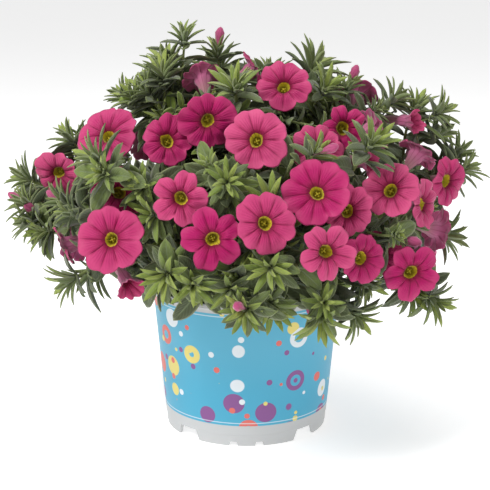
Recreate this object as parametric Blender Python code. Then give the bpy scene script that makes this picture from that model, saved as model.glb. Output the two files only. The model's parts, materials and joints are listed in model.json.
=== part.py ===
"""A calibrachoa in full bloom in its printed nursery pot, built to real size.

The frame: +Z up, the floor at Z 0, the pot's axis on Z, the side that faces the viewer towards -Y.
Tables and functions hold millimetres and degrees; MM turns lengths into metres where a mesh is made.
A facing is given by turn (0 is the front, 90 the right) and tilt (above the horizon).
"""

import math
import random
from dataclasses import dataclass, field

import bmesh
import bpy
import numpy as np

MM = 0.001

# Pot
RIM_RADIUS = 55.0
POT_HEIGHT = 84.5
LIP_HEIGHT = 3.0
BAND_TOP = (54.3, 79.3)
BAND_FOOT = (48.2, 12.5)
FOOT_RADIUS = 46.9
FOOT_WALL = 1.8
WALL = 1.3
FLOOR_UNDER = 7.6
FLOOR_OVER = 9.0
POT_SIDES = 32
ARCH_TURNS = (-45.0, 45.0, 135.0, 225.0)
ARCH = (9.0, 6.0, 6.2)
NICK_OFFSETS = (-9.0, 9.0)
NICK = (3.0, 1.8, 2.4)
DRAIN_RADIUS = 3.5
DRAIN_RING = 34.0
DRAIN_COUNT = 6

# Space kept between neighbours, and the length under which a union's leftover edge is closed up
GAP = 0.35
SLIVER = 0.004

# Soil
SOIL_EDGE_Z = 73.5
SOIL_MIDDLE_Z = 76.0
SOIL_SIDES = 16
HOLE_RADIUS = 2.35

# Stems
OUTER_HOLES = 9
OUTER_RING = 33.0
INNER_HOLES = 5
INNER_RING = 14.0
UPPER_TIER_TILT = 50.0
CROWN_Z = 85.0
STEM_FOOT_Z = 66.0
# Rise and sideways lean that a stem's path tries in turn until it is clear
BOWS = (0.42, 0.52, 0.32, 0.64, 0.22)
LEANS = (0.0, 12.0, -12.0, 24.0, -24.0, 36.0, -36.0)
MAIN_RADII = (1.6, 1.0)
SHOOT_RADII = (1.0, 0.75)
STALK_RADIUS = 0.62
CALYX_RADIUS = 2.0
MAIN_STEP = 18.0
SHOOT_STEP = 13.0

# Blooms
TUBE_LENGTH = 15.0
THROAT_RADIUS = 3.7
LOBES = 5
PETAL_THICKNESS = 0.9
THROAT_WALL = 1.0
WELL_DEPTH = 8.0

# Leaves
GOLDEN_ANGLE = 137.5
LEAF_LENGTH = 22.0
LEAF_WIDTH = 7.4
LEAF_THICKNESS = 0.8
WIDEST = 0.42
MAIN_LEAF_STEP = 23.0
SHOOT_LEAF_STEP = 15.0
SIDES = 4
NODE_HEIGHT = 1.8
# Spread, bend and size that a leaf tries in turn until it fits
LEAF_TRIES = (
    (62, 0.6, 1.0),
    (48, 0.9, 1.0),
    (75, 0.3, 0.95),
    (52, 0.3, 0.85),
    (68, 0.8, 0.8),
    (58, 0.5, 0.65),
)
# Spread, length and width of the leaves of a shoot's two end whorls
TUFT_WHORLS = ((50.0, 12.0, 3.3), (24.0, 10.0, 2.6))

# Mouth of the throat, turn, tilt, span of the limb, form and spin of each bloom that faces the viewer.
FRONT_BLOOMS = (
    ((-74, -44, 176), -15, 40, 35, "round", 10),
    ((-41, -66, 177), 8, 20, 27, "round", 40),
    ((-20, -68, 188), 5, -4, 31, "round", 0),
    ((-106, -10, 150), -14, -12, 28, "round", 20),
    ((-66, -72, 151), 12, 18, 29, "round", 54),
    ((-68, -97, 132), -6, 13, 35, "round", 0),
    ((-33, -96, 153), -5, 5, 29.5, "star", 36),
    ((-17, -108, 135), 0, 6, 32, "star", 0),
    ((5, -82, 180), -5, 20, 32.5, "round", 0),
    ((9, -109, 143), 10, 11, 31.5, "round", 30),
    ((20, -34, 201), 0, 36, 30, "round", 15),
    ((50, -62, 183), 10, 12, 24, "star", 0),
    ((36, -72, 173), 8, 26, 28, "round", 20),
    ((35, -98, 156), -8, 24, 35, "round", 10),
    ((74, -76, 153), -14, 24, 30, "round", 45),
    ((51, -88, 145), 6, 15, 27, "round", 0),
    ((39, -110, 129), 20, 2, 30, "star", 20),
    ((58, -92, 121), 24, 4, 26, "round", 40),
    ((85, -82, 111), 10, 2, 31, "star", 10),
    ((69, -67, 117), -12, 10, 26, "round", 0),
    ((112, -14, 146), 42, 4, 28, "round", 0),
    ((93, -54, 141), 58, 10, 28, "round", 30),
    ((103, -40, 124), 118, -16, 25, "round", 0),
    ((67, -42, 179), 112, 22, 25, "round", 0),
    ((88, -14, 180), 48, 2, 14, "half", 0),
    ((62, 2, 191), 168, 44, 26, "round", 0),
    ((-24, -16, 203), -168, 40, 24, "round", 0),
    ((3, -6, 207), 96, 32, 23, "round", 28),
    ((-96, -50, 118), -78, -18, 25, "star", 0),
    ((-62, -91, 110), 32, -32, 16, "half", 8),
    ((94, -22, 162), 124, 40, 24, "round", 0),
    ((60, -59, 165), 62, 0, 17, "half", 0),
)
BACK_BLOOMS = 12
BACK_SPAN = (27.0, 33.0)

# Ends of the leafy shoots that face the viewer, with the size of each tuft.
FRONT_TIPS = (
    ((-44, 6, 208), 1.25),
    ((-68, 6, 190), 1.0),
    ((-55, -12, 196), 1.1),
    ((-100, 2, 167), 1.0),
    ((-126, 3, 144), 1.0),
    ((-122, -16, 123), 1.0),
    ((-94, -56, 136), 1.1),
    ((-93, -62, 102), 1.1),
    ((-76, -78, 169), 1.2),
    ((-18, -92, 168), 1.2),
    ((-6, -46, 201), 1.1),
    ((37, 8, 206), 1.45),
    ((44, -8, 199), 1.1),
    ((72, -16, 186), 1.2),
    ((95, 0, 184), 1.1),
    ((63, -79, 177), 1.1),
    ((23, -90, 171), 0.9),
    ((125, 5, 149), 1.0),
    ((76, -88, 132), 1.1),
    ((26, -110, 119), 1.1),
    ((-40, -104, 116), 1.1),
    ((-8, -110, 116), 0.9),
    ((12, -104, 100), 1.0),
    ((38, -98, 92), 1.2),
    ((104, -32, 82), 1.1),
)
BACK_TIPS = 13
BACK_SHELL = (114.0, 112.0, 96.0)
SHELL_CENTRE_Z = 112.0

MATERIALS = {
    "pot_white": ((0.80, 0.79, 0.78), 0.42),
    "soil_dark": ((0.035, 0.026, 0.020), 0.95),
    "leaf_green": ((0.13, 0.20, 0.05), 0.62),
    "petal_pink": ((0.52, 0.02, 0.14), 0.55),
}


def heading(turn, tilt):
    """Unit vector of a facing."""
    t, e = math.radians(turn), math.radians(tilt)
    return np.array([math.sin(t) * math.cos(e), -math.cos(t) * math.cos(e), math.sin(e)])


def unit(v):
    """v at length 1."""
    return np.asarray(v, float) / max(float(np.linalg.norm(v)), 1e-9)


def across(direction, spin=0.0):
    """Two unit vectors square to direction, the first level; all three make a right-handed set."""
    side = np.cross((0.0, 0.0, 1.0), direction)
    if np.linalg.norm(side) < 1e-3:
        side = np.array([1.0, 0.0, 0.0])
    side = unit(side)
    up = np.cross(direction, side)
    c, s = math.cos(math.radians(spin)), math.sin(math.radians(spin))
    return side * c + up * s, up * c - side * s


def bezier(p0, p1, p2, p3, steps):
    """Points of a cubic curve, both ends included."""
    t = np.linspace(0.0, 1.0, steps + 1)[:, None]
    return (1 - t) ** 3 * p0 + 3 * t * (1 - t) ** 2 * p1 + 3 * t**2 * (1 - t) * p2 + t**3 * p3


def resampled(points, step):
    """The same line with points about step apart."""
    lengths = np.linalg.norm(np.diff(points, axis=0), axis=1)
    along = np.concatenate([[0.0], np.cumsum(lengths)])
    at = np.linspace(0.0, along[-1], max(2, int(along[-1] / step) + 1))
    return np.stack([np.interp(at, along, points[:, k]) for k in range(3)], axis=1)


@dataclass(frozen=True)
class Bloom:
    """One open flower: a narrow tube that flares into a limb of five lobes."""

    name: str
    mouth: tuple
    turn: float
    tilt: float
    span: float
    form: str
    spin: float

    def facing(self):
        """Unit vector along which the bloom looks."""
        return heading(self.turn, self.tilt)

    def foot(self):
        """Where the tube starts, on its calyx."""
        return np.array(self.mouth, float) - TUBE_LENGTH * self.facing()

    def outline(self):
        """Points of the limb and the tube, for keeping clear of other pieces."""
        side, up = across(self.facing())
        rise = 7.0 if self.form == "half" else 2.0
        rings = [(self.span / 2, rise, 16), (self.span / 3.4, 1.5, 8), (self.span / 7, 0.0, 4)]
        found = [
            np.array(self.mouth) + self.facing() * lift + r * (math.cos(a) * side + math.sin(a) * up)
            for r, lift, count in rings
            for a in np.linspace(0, 2 * math.pi, count, endpoint=False)
        ]
        found += [np.array(self.mouth) - self.facing() * d for d in (5.0, 10.0, TUBE_LENGTH)]
        return np.array(found)


@dataclass(frozen=True)
class Leaf:
    """A blade that leaves root along a direction, upper side towards face, and bends away from it."""

    root: tuple
    along: tuple
    face: tuple
    length: float
    width: float
    bend: float

    def at(self, t):
        """Point of the midrib, its direction and its upper normal, t from 0 at the root to 1 at the tip."""
        a, n = np.array(self.along), np.array(self.face)
        turn = self.bend * t
        reach = self.length * t
        if abs(self.bend) > 1e-4:
            ahead = self.length * math.sin(turn) / self.bend
            down = self.length * (1 - math.cos(turn)) / self.bend
        else:
            ahead, down = reach, 0.0
        point = np.array(self.root) + a * ahead - n * down
        return point, a * math.cos(turn) - n * math.sin(turn), n * math.cos(turn) + a * math.sin(turn)

    def points(self):
        """Sample points of the blade, for keeping clear of other pieces."""
        side = np.cross(self.along, self.face)
        found = [self.at(t)[0] for t in (0.12, 0.3, 0.48, 0.66, 0.84, 1.0)]
        for t, share in ((0.3, 0.46), (0.55, 0.46), (0.78, 0.3)):
            for sign in (-1, 1):
                found.append(self.at(t)[0] + side * (sign * share * self.width))
        return np.array(found)


@dataclass
class Tube:
    """A stem or stalk along points, thinning from one radius to the other, with leaves at its nodes."""

    points: np.ndarray
    radii: tuple
    kind: str
    tuft: float = 0.0
    end: tuple = ()
    nodes: list = field(default_factory=list)
    taken: list = field(default_factory=list)

    def steps(self):
        """Distance of each point along the line."""
        return np.concatenate([[0.0], np.cumsum(np.linalg.norm(np.diff(self.points, axis=0), axis=1))])

    def frames(self):
        """Direction and side vector of each piece of the line, carried along without a twist."""
        found, side = [], None
        for a, b in zip(self.points[:-1], self.points[1:]):
            ahead = unit(b - a)
            side = across(ahead)[0] if side is None else unit(side - ahead * (side @ ahead))
            found.append((ahead, side))
        return found

    def at(self, distance):
        """Point, direction, side and up at that distance along the line."""
        steps, frames = self.steps(), self.frames()
        k = int(np.clip(np.searchsorted(steps, distance, side="right") - 1, 0, len(frames) - 1))
        ahead, side = frames[k]
        joint = np.nonzero(np.abs(steps[1:-1] - distance) < 1e-6)[0]
        if len(joint):
            ahead = unit(frames[joint[0]][0] + frames[joint[0] + 1][0])
            side = unit(side - ahead * (side @ ahead))
        point = np.array([np.interp(distance, steps, self.points[:, n]) for n in range(3)])
        return point, ahead, side, np.cross(ahead, side)

    def radius(self, distance):
        """Radius of the tube at that distance."""
        share = distance / self.steps()[-1]
        return self.radii[0] + (self.radii[1] - self.radii[0]) * share


@dataclass
class Stem:
    """One leafy stem: its hole and its tubes, which hold the leaves."""

    name: str
    turn: float
    ring: float
    tubes: list = field(default_factory=list)


class Room:
    """What is already placed, so that the next piece keeps clear of it."""

    def __init__(self):
        self.blooms = []
        self.points = np.zeros((0, 3))
        self.radii = np.zeros(0)
        self.owners = np.zeros(0, int)

    def add(self, points, radius, owner):
        """Keeps points of a stem or leaf of that owner."""
        self.points = np.vstack([self.points, points])
        self.radii = np.concatenate([self.radii, np.full(len(points), radius)])
        self.owners = np.concatenate([self.owners, np.full(len(points), owner)])

    def meets_bloom(self, points, reach, skip=None):
        """Whether any point is within reach of a bloom's limb or tube."""
        for bloom in self.blooms:
            if bloom.name == skip:
                continue
            v = points - np.array(bloom.mouth)
            facing = bloom.facing()
            h = v @ facing
            rho = np.linalg.norm(v - np.outer(h, facing), axis=1)
            top = 9.5 if bloom.form == "half" else 3.6
            limb = (h > -1.8 - reach) & (h < top + reach) & (rho < bloom.span / 2 + 0.3 + reach)
            tube = (h <= 0.0) & (h > -TUBE_LENGTH - 0.2) & (rho < 5.2 + 0.2 * h + reach)
            if (limb | tube).any():
                return True
        return False

    def meets_pot(self, points, slack=0.0):
        """Whether any point is in the pot's wall or rim, or in the soil."""
        r = np.linalg.norm(points[:, :2], axis=1)
        z = points[:, 2]
        rim = (z < POT_HEIGHT + 2.6 - slack) & (r > 50.0) & (r < RIM_RADIUS + 2.6 - slack)
        soil = (z < SOIL_MIDDLE_Z + 3.0 - slack) & (r <= 50.0)
        return bool((rim | soil).any())

    def meets_others(self, points, radius, owner=None, root=None):
        """Whether any point is too near a stem or leaf of another owner or, past its root, of its own."""
        mask = np.ones(len(self.points), bool) if owner is None else self.owners != owner
        if root is not None:
            mask &= np.linalg.norm(self.points - root, axis=1) > 5.5
        if not mask.any():
            return False
        placed, reach = self.points[mask], self.radii[mask] + radius
        low, high = points.min(0) - 6.0, points.max(0) + 6.0
        near = ((placed > low) & (placed < high)).all(axis=1)
        if not near.any():
            return False
        gaps = np.linalg.norm(points[:, None, :] - placed[near][None, :, :], axis=2)
        return bool((gaps < reach[near][None, :]).any())


def shell_point(turn, tilt, scale=1.0):
    """Point of the plant's rounded outline in that direction."""
    return heading(turn, tilt) * np.array(BACK_SHELL) * scale + np.array([0.0, 0.0, SHELL_CENTRE_Z])


def all_blooms(room, rng):
    """The blooms that the front shows and, by rule, those of the far side."""
    for i, (mouth, turn, tilt, span, form, spin) in enumerate(FRONT_BLOOMS):
        room.blooms.append(Bloom(f"bloom_{i + 1:02d}", mouth, turn, tilt, span, form, spin))
    made = len(FRONT_BLOOMS)
    step = 0
    while len(room.blooms) < made + BACK_BLOOMS and step < 400:
        turn = 180.0 + ((step * GOLDEN_ANGLE) % 190.0 - 95.0)
        tilt = -6.0 + (step * 37.0) % 74.0
        step += 1
        mouth = shell_point(turn, tilt, rng.uniform(0.9, 0.97))
        bloom = Bloom(
            f"bloom_{len(room.blooms) + 1:02d}",
            tuple(mouth),
            turn + rng.uniform(-14, 14),
            tilt * 0.75 + rng.uniform(-8, 8),
            rng.uniform(*BACK_SPAN),
            rng.choice(("round", "round", "star")),
            rng.uniform(12, 84),
        )
        if room.meets_bloom(bloom.outline(), 3.4):
            continue
        room.blooms.append(bloom)
    return room.blooms


def all_tips(room, rng):
    """Ends of the leafy shoots, those of the far side by rule."""
    tips = [(np.array(p, float), size) for p, size in FRONT_TIPS]
    back, step = 0, 0
    while back < BACK_TIPS and step < 400:
        turn = 180.0 + ((step * GOLDEN_ANGLE + 40.0) % 184.0 - 92.0)
        tilt = -10.0 + (step * 29.0) % 84.0
        step += 1
        point = shell_point(turn, tilt, rng.uniform(0.98, 1.03))
        crowded = min(np.linalg.norm(point - other) for other, _ in tips) < 34.0
        if crowded or room.meets_bloom(point[None, :], 7.0):
            continue
        tips.append((point, rng.uniform(1.0, 1.25)))
        back += 1
    return tips


def all_stems():
    """The stems in their holes: an outer ring and, for the top of the plant, an inner one."""
    stems = [Stem(f"stem_{i + 1:02d}", i * 360.0 / OUTER_HOLES, OUTER_RING) for i in range(OUTER_HOLES)]
    for i in range(INNER_HOLES):
        name = f"stem_{OUTER_HOLES + i + 1:02d}"
        stems.append(Stem(name, 20.0 + i * 360.0 / INNER_HOLES, INNER_RING))
    return stems


def stem_for(point, stems):
    """Index of the stem that reaches point: by tier, then by the nearest turn."""
    turn = math.degrees(math.atan2(point[0], -point[1]))
    tilt = math.degrees(math.atan2(point[2] - CROWN_Z, math.hypot(point[0], point[1])))
    ring = INNER_RING if tilt > UPPER_TIER_TILT else OUTER_RING
    return min(
        (i for i, s in enumerate(stems) if s.ring == ring),
        key=lambda i: abs((stems[i].turn - turn + 180.0) % 360.0 - 180.0),
    )


def tip_direction(point):
    """Which way a shoot's end points: out and up on top, more level lower down."""
    out = unit((point[0], point[1], 0.0))
    rise = np.clip((point[2] - 96.0) / 70.0, -0.25, 1.6)
    return unit(out + np.array([0.0, 0.0, rise]))


def main_path(stem, tip, bow, lean):
    """From the foot in the soil straight up, then over to the tip, its middle moved sideways by lean."""
    out = heading(stem.turn, 0.0) * stem.ring
    foot = np.array([out[0], out[1], STEM_FOOT_Z])
    rise = np.array([out[0], out[1], SOIL_MIDDLE_Z + 4.0])
    reach = np.linalg.norm(tip - rise)
    p1 = rise + np.array([0.0, 0.0, 1.0]) * reach * bow
    p2 = tip - tip_direction(tip) * reach * 0.34 + heading(stem.turn + 90.0, 0.0) * lean
    p1 = p1 + heading(stem.turn + 90.0, 0.0) * lean * 0.7
    return np.vstack([foot[None, :], resampled(bezier(rise, p1, p2, tip, 24), MAIN_STEP)])


def placed_main(room, stem, index, tip, size):
    """Lays the stem's main path with the bow that keeps clear."""
    tries = [(bow, lean) for lean in LEANS for bow in BOWS]
    best = main_path(stem, tip, *tries[0])
    for bow, lean in tries:
        line = main_path(stem, tip, bow, lean)
        fine = resampled(line[1:], 2.5)
        if room.meets_bloom(fine, 2.2) or room.meets_pot(fine[4:], 1.0):
            continue
        if room.meets_others(fine, 1.4, index):
            continue
        best = line
        break
    stem.tubes.append(Tube(best, MAIN_RADII, "main", size))
    room.add(resampled(best, 2.5), 1.5, index)


def joined(room, stem, index, target, arrive, skip, radius, reach):
    """A side path from one of the stem's tubes to target, arriving along arrive, or None."""
    choices = []
    for tube in stem.tubes:
        if tube.kind == "stalk":
            continue
        fine = resampled(tube.points, 3.0)
        lift = fine[:, 2] > SOIL_MIDDLE_Z + 10.0
        for k in np.nonzero(lift)[0][:-3]:
            gap = np.linalg.norm(target - fine[k])
            if gap > 12.0 and unit(target - fine[k]) @ arrive > 0.35:
                choices.append((abs(gap - reach), k, fine, tube))
    choices.sort(key=lambda c: c[0])
    for slack in (0.0, 0.5):
        for _, k, fine, parent in choices[:120]:
            start = fine[k]
            gap = np.linalg.norm(target - start)
            ahead = unit(fine[min(k + 1, len(fine) - 1)] - fine[k])
            leave = unit(ahead + 0.9 * unit(target - start))
            line = bezier(start, start + leave * gap * 0.35, target - arrive * gap * 0.35, target, 8)
            line = resampled(line, min(SHOOT_STEP, gap / 3.2))
            test = resampled(line, 2.0)[2:]
            if room.meets_bloom(test, radius + 0.6 - slack, skip) or room.meets_pot(test, slack):
                continue
            if skip and room.meets_bloom(test[-2:], CALYX_RADIUS + 0.5 - slack, skip):
                continue
            if room.meets_others(test, radius + 0.3 - slack * 0.4, index):
                continue
            parent.taken.append(parent.steps()[-1] * k / (len(fine) - 1))
            return line
    return None


def leaf_at(tube, distance, side_index, spread, length, width, bend, twist=0.0):
    """A leaf that leaves one side of the tube, its upper face towards the tube's end."""
    point, ahead, side, up = tube.at(distance)
    angle = (side_index + 0.5) * 2 * math.pi / SIDES
    radial = math.cos(angle) * side + math.sin(angle) * up
    tilt = math.radians(spread)
    along = ahead * math.cos(tilt) + radial * math.sin(tilt)
    face = ahead * math.sin(tilt) - radial * math.cos(tilt)
    turn = math.radians(twist)
    face = face * math.cos(turn) + np.cross(along, face) * math.sin(turn)
    root = point + radial * tube.radius(distance) * 0.7
    return Leaf(tuple(root), tuple(along), tuple(face), length, width, bend)


def add_tuft(room, tube, index):
    """The whorls of narrow leaves that end a shoot, as large as there is room for."""
    total = tube.steps()[-1]
    for scale in (1.0, 0.85, 0.7, 0.55, 0.4):
        size = scale * tube.tuft
        nodes = []
        for whorl, (spread, length, width) in enumerate(TUFT_WHORLS):
            distance = total - NODE_HEIGHT * (1.5 - whorl)
            leaves = {
                k: leaf_at(tube, distance, k, spread, length * size, width * size, 0.45)
                for k in range(SIDES)
            }
            nodes.append((distance, leaves))
        test = np.vstack([leaf.points() for _, leaves in nodes for leaf in leaves.values()])
        if room.meets_bloom(test, 1.2) or room.meets_others(test, 1.6, index) or room.meets_pot(test):
            continue
        tube.nodes += nodes
        room.add(test, 1.3, index)
        return
    tube.tuft = 0.0


def add_leaves(room, tube, index, step, rng):
    """Pairs of leaves along a tube, each pair at right angles to the last; where none fits none is made."""
    total = tube.steps()[-1]
    distance, pair = rng.uniform(3, 9), rng.randrange(2)
    while distance < total - 7.0:
        share = distance / total
        here, pair = distance, pair + 1
        distance += step * rng.uniform(0.8, 1.2)
        if tube.at(here)[0][2] < SOIL_MIDDLE_Z + 9.0 or any(abs(here - t) < 3.5 for t in tube.taken):
            continue
        leaves = {}
        for k in (pair % 2, pair % 2 + 2):
            size = (1.15 - 0.4 * share) * rng.uniform(0.85, 1.15)
            for spread, bend, scale in LEAF_TRIES:
                length = LEAF_LENGTH * size * scale
                width = LEAF_WIDTH * size * scale * rng.uniform(0.9, 1.1)
                leaf = leaf_at(tube, here, k, spread, length, width, bend, rng.uniform(-25, 25))
                test = leaf.points()
                if room.meets_bloom(test, 1.6) or room.meets_pot(test):
                    continue
                if room.meets_others(test[1:], 1.75, None, np.array(leaf.root)):
                    continue
                leaves[k] = leaf
                break
        if leaves:
            tube.nodes.append((here, leaves))
            for leaf in leaves.values():
                room.add(leaf.points(), 1.75, index)


def branch(room, stems, first, target, arrive, tuft, bloom=None):
    """Grows a leafy shoot or a bloom's stalk to target from the first stem, or from the nearest that can."""
    order = sorted(
        range(len(stems)),
        key=lambda i: (i != first)
        * min(np.linalg.norm(target - tube.points, axis=1).min() for tube in stems[i].tubes),
    )
    radii, reach = ((STALK_RADIUS,) * 2, 26.0) if bloom else (SHOOT_RADII, 55.0)
    for i in order[:7]:
        line = joined(room, stems[i], i, target, arrive, bloom, radii[0] + 0.25, reach)
        if line is not None:
            end = tuple(arrive) if bloom else ()
            stems[i].tubes.append(Tube(line, radii, "stalk" if bloom else "shoot", tuft, end))
            room.add(resampled(line, 2.0), radii[0] + 0.3, i)
            return


def grow():
    """The whole plant: its stems, with tubes and leaves, and its blooms."""
    rng = random.Random(11)
    room = Room()
    blooms = all_blooms(room, rng)
    tips = all_tips(room, rng)
    stems = all_stems()
    groups = {i: [] for i in range(len(stems))}
    for point, size in tips:
        groups[stem_for(point, stems)].append((point, size))
    for i, stem in enumerate(stems):
        if not groups[i]:
            tilt = 70.0 if stem.ring == INNER_RING else 20.0
            groups[i].append((shell_point(stem.turn, tilt, 0.95), 1.0))
        groups[i].sort(key=lambda entry: -np.linalg.norm(entry[0] - np.array([0, 0, CROWN_Z])))
        placed_main(room, stem, i, *groups[i][0])
    for i in range(len(stems)):
        for point, size in groups[i][1:]:
            branch(room, stems, i, point, tip_direction(point), size)
    for bloom in blooms:
        target = bloom.foot() - bloom.facing() * GAP
        first = stem_for(bloom.foot(), stems)
        branch(room, stems, first, target, bloom.facing(), 0.0, bloom.name)
    for i, stem in enumerate(stems):
        for tube in stem.tubes:
            if tube.tuft:
                add_tuft(room, tube, i)
    for i, stem in enumerate(stems):
        for tube in stem.tubes:
            if tube.kind != "stalk":
                step = MAIN_LEAF_STEP if tube.kind == "main" else SHOOT_LEAF_STEP
                add_leaves(room, tube, i, step, rng)
    return stems, blooms


def material(name):
    """The piece's finish."""
    colour, roughness = MATERIALS[name]
    made = bpy.data.materials.get(name) or bpy.data.materials.new(name)
    made.use_nodes = True
    shader = made.node_tree.nodes["Principled BSDF"]
    shader.inputs["Base Color"].default_value = (*colour, 1.0)
    shader.inputs["Roughness"].default_value = roughness
    shader.inputs["Metallic"].default_value = 0.0
    return made


def mesh_object(name, points, faces, finish, collection=None):
    """An object from points in millimetres."""
    mesh = bpy.data.meshes.new(name)
    mesh.from_pydata([tuple(float(c) * MM for c in p) for p in points], [], faces)
    mesh.validate()
    mesh.update()
    mesh.materials.append(material(finish))
    made = bpy.data.objects.new(name, mesh)
    (collection or bpy.context.scene.collection).objects.link(made)
    return made


def turned(profile, sides):
    """Points and faces of a closed profile of (radius, height) turned round Z; radius 0 makes a pole."""
    points, rows = [], []
    for radius, height in profile:
        if radius < 1e-6:
            rows.append([len(points)] * sides)
            points.append((0.0, 0.0, height))
            continue
        rows.append(list(range(len(points), len(points) + sides)))
        for k in range(sides):
            angle = 2 * math.pi * k / sides
            points.append((radius * math.cos(angle), radius * math.sin(angle), height))
    faces = []
    closed = list(zip(rows, rows[1:])) if profile[0][0] < 1e-6 else list(zip(rows, rows[1:] + rows[:1]))
    for low, high in closed:
        for k in range(sides):
            j = (k + 1) % sides
            ring = [low[k], low[j], high[j], high[k]]
            face = [v for n, v in enumerate(ring) if v not in ring[:n]]
            if len(face) > 2:
                faces.append(face)
    return points, faces


def prism(outline, turn, near, far):
    """A bar of that (across, up) outline, pointing out at turn, from radius near to radius far."""
    out, side = heading(turn, 0.0), heading(turn + 90.0, 0.0)
    points = [out * r + side * x + np.array([0.0, 0.0, z]) for r in (near, far) for x, z in outline]
    count = len(outline)
    faces = [list(range(count))[::-1], list(range(count, 2 * count))]
    faces += [[k, (k + 1) % count, count + (k + 1) % count, count + k] for k in range(count)]
    return points, faces


def boolean(target, operation, cutters, solver="EXACT"):
    """Applies one Boolean with every object of the collection, then removes them."""
    modifier = target.modifiers.new("join", "BOOLEAN")
    modifier.operation = operation
    modifier.operand_type = "COLLECTION"
    modifier.collection = cutters
    modifier.solver = solver
    bpy.context.view_layer.update()
    graph = bpy.context.evaluated_depsgraph_get()
    result = bpy.data.meshes.new_from_object(target.evaluated_get(graph))
    target.modifiers.clear()
    target.data = result
    keep_largest(result)
    for cutter in list(cutters.objects):
        bpy.data.objects.remove(cutter)
    bpy.data.collections.remove(cutters)


def keep_largest(mesh):
    """Drops scraps and the walls of sealed hollows, which a union leaves as loose pieces."""
    shape = bmesh.new()
    shape.from_mesh(mesh)
    bmesh.ops.triangulate(shape, faces=shape.faces)
    bmesh.ops.dissolve_degenerate(shape, dist=SLIVER * MM, edges=shape.edges)
    shape.verts.index_update()
    seen, islands = set(), []
    for start in shape.verts:
        if start.index in seen:
            continue
        island, queue = [], [start]
        seen.add(start.index)
        while queue:
            vert = queue.pop()
            island.append(vert)
            for edge in vert.link_edges:
                other = edge.other_vert(vert)
                if other.index not in seen:
                    seen.add(other.index)
                    queue.append(other)
        islands.append(island)
    islands.sort(key=len)
    for island in islands[:-1]:
        bmesh.ops.delete(shape, geom=island, context="VERTS")
    shape.to_mesh(mesh)
    shape.free()


def helpers(name):
    """A collection for the shapes that a Boolean takes."""
    made = bpy.data.collections.new(name)
    bpy.context.scene.collection.children.link(made)
    return made


def trapezium(half_width, half_top, height):
    """Outline of a cut-out that starts below the floor."""
    return [(-half_width, -2.0), (half_width, -2.0), (half_top, height), (-half_top, height)]


def build_pot():
    """The pot: lip, tapered wall, raised floor with drain holes, and a foot ring with arches and nicks."""
    top_r, top_z = BAND_TOP
    foot_r, foot_z = BAND_FOOT
    slope = (top_r - foot_r) / (top_z - foot_z)
    profile = [
        (0.0, FLOOR_UNDER),
        (FOOT_RADIUS - FOOT_WALL, FLOOR_UNDER),
        (FOOT_RADIUS - FOOT_WALL - 0.2, 0.0),
        (FOOT_RADIUS, 0.0),
        (foot_r - slope * 6.0 - 0.3, foot_z - 6.0),
        (foot_r - slope * 5.0, foot_z - 5.2),
        (foot_r, foot_z),
        (top_r, top_z),
        (top_r + slope * 2.2, POT_HEIGHT - LIP_HEIGHT),
        (RIM_RADIUS, POT_HEIGHT - LIP_HEIGHT + 0.5),
        (RIM_RADIUS, POT_HEIGHT - 0.5),
        (RIM_RADIUS - 0.5, POT_HEIGHT),
        (RIM_RADIUS - 1.7, POT_HEIGHT),
        (top_r - WALL, top_z - 1.0),
        (foot_r - WALL, FLOOR_OVER + 1.0),
        (foot_r - WALL - 1.0, FLOOR_OVER),
        (0.0, FLOOR_OVER),
    ]
    points, faces = turned(profile, POT_SIDES)
    pot = mesh_object("pot", points, faces, "pot_white")
    cutters = helpers("pot_cutters")
    for i, turn in enumerate(ARCH_TURNS):
        mesh_object(f"arch_{i}", *prism(trapezium(*ARCH), turn, 40.0, 52.0), "pot_white", cutters)
        for k, offset in enumerate(NICK_OFFSETS):
            shape = prism(trapezium(*NICK), turn + 45.0 + offset, 40.0, 52.0)
            mesh_object(f"nick_{i}_{k}", *shape, "pot_white", cutters)
    for i in range(DRAIN_COUNT):
        centre = heading((i + 0.5) * 360.0 / DRAIN_COUNT, 0.0) * DRAIN_RING
        mesh_object(f"drain_{i}", *peg(centre, DRAIN_RADIUS, 5.0, 12.0, 8), "pot_white", cutters)
    boolean(pot, "DIFFERENCE", cutters)
    return pot


def peg(centre, radius, low, high, sides):
    """A short upright prism."""
    points = []
    for z in (low, high):
        for k in range(sides):
            angle = 2 * math.pi * k / sides
            points.append((centre[0] + radius * math.cos(angle), centre[1] + radius * math.sin(angle), z))
    faces = [list(range(sides))[::-1], list(range(sides, 2 * sides))]
    faces += [[k, (k + 1) % sides, sides + (k + 1) % sides, sides + k] for k in range(sides)]
    return points, faces


def build_soil(stems):
    """The root ball of peat, crumbly on top, with a plain hole for each stem."""
    rng = random.Random(5)
    top_r, top_z = BAND_TOP
    foot_r, foot_z = BAND_FOOT
    slope = (top_r - foot_r) / (top_z - foot_z)
    low_z = FLOOR_OVER + 1.3
    profile = [
        (0.0, low_z - 0.8),
        (foot_r - WALL - 1.6, low_z - 0.8),
        (foot_r - WALL - 0.7, low_z + 0.6),
        (foot_r - WALL - 0.7 + slope * (SOIL_EDGE_Z - low_z - 1.0), SOIL_EDGE_Z),
        (44.0, SOIL_EDGE_Z + 1.2),
        (25.0, SOIL_MIDDLE_Z - 0.4),
        (0.0, SOIL_MIDDLE_Z),
    ]
    points, faces = turned(profile, SOIL_SIDES)
    crumbly = [
        (x, y, z + rng.uniform(-0.9, 0.7)) if z > SOIL_EDGE_Z + 0.5 else (x, y, z) for x, y, z in points
    ]
    soil = mesh_object("soil", crumbly, faces, "soil_dark")
    cutters = helpers("soil_cutters")
    for stem in stems:
        centre = heading(stem.turn, 0.0) * stem.ring
        shape = peg(centre, HOLE_RADIUS, STEM_FOOT_Z - 0.5, SOIL_MIDDLE_Z + 4.0, 6)
        mesh_object(f"hole_{stem.name}", *shape, "soil_dark", cutters)
    boolean(soil, "DIFFERENCE", cutters)
    return soil


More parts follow.
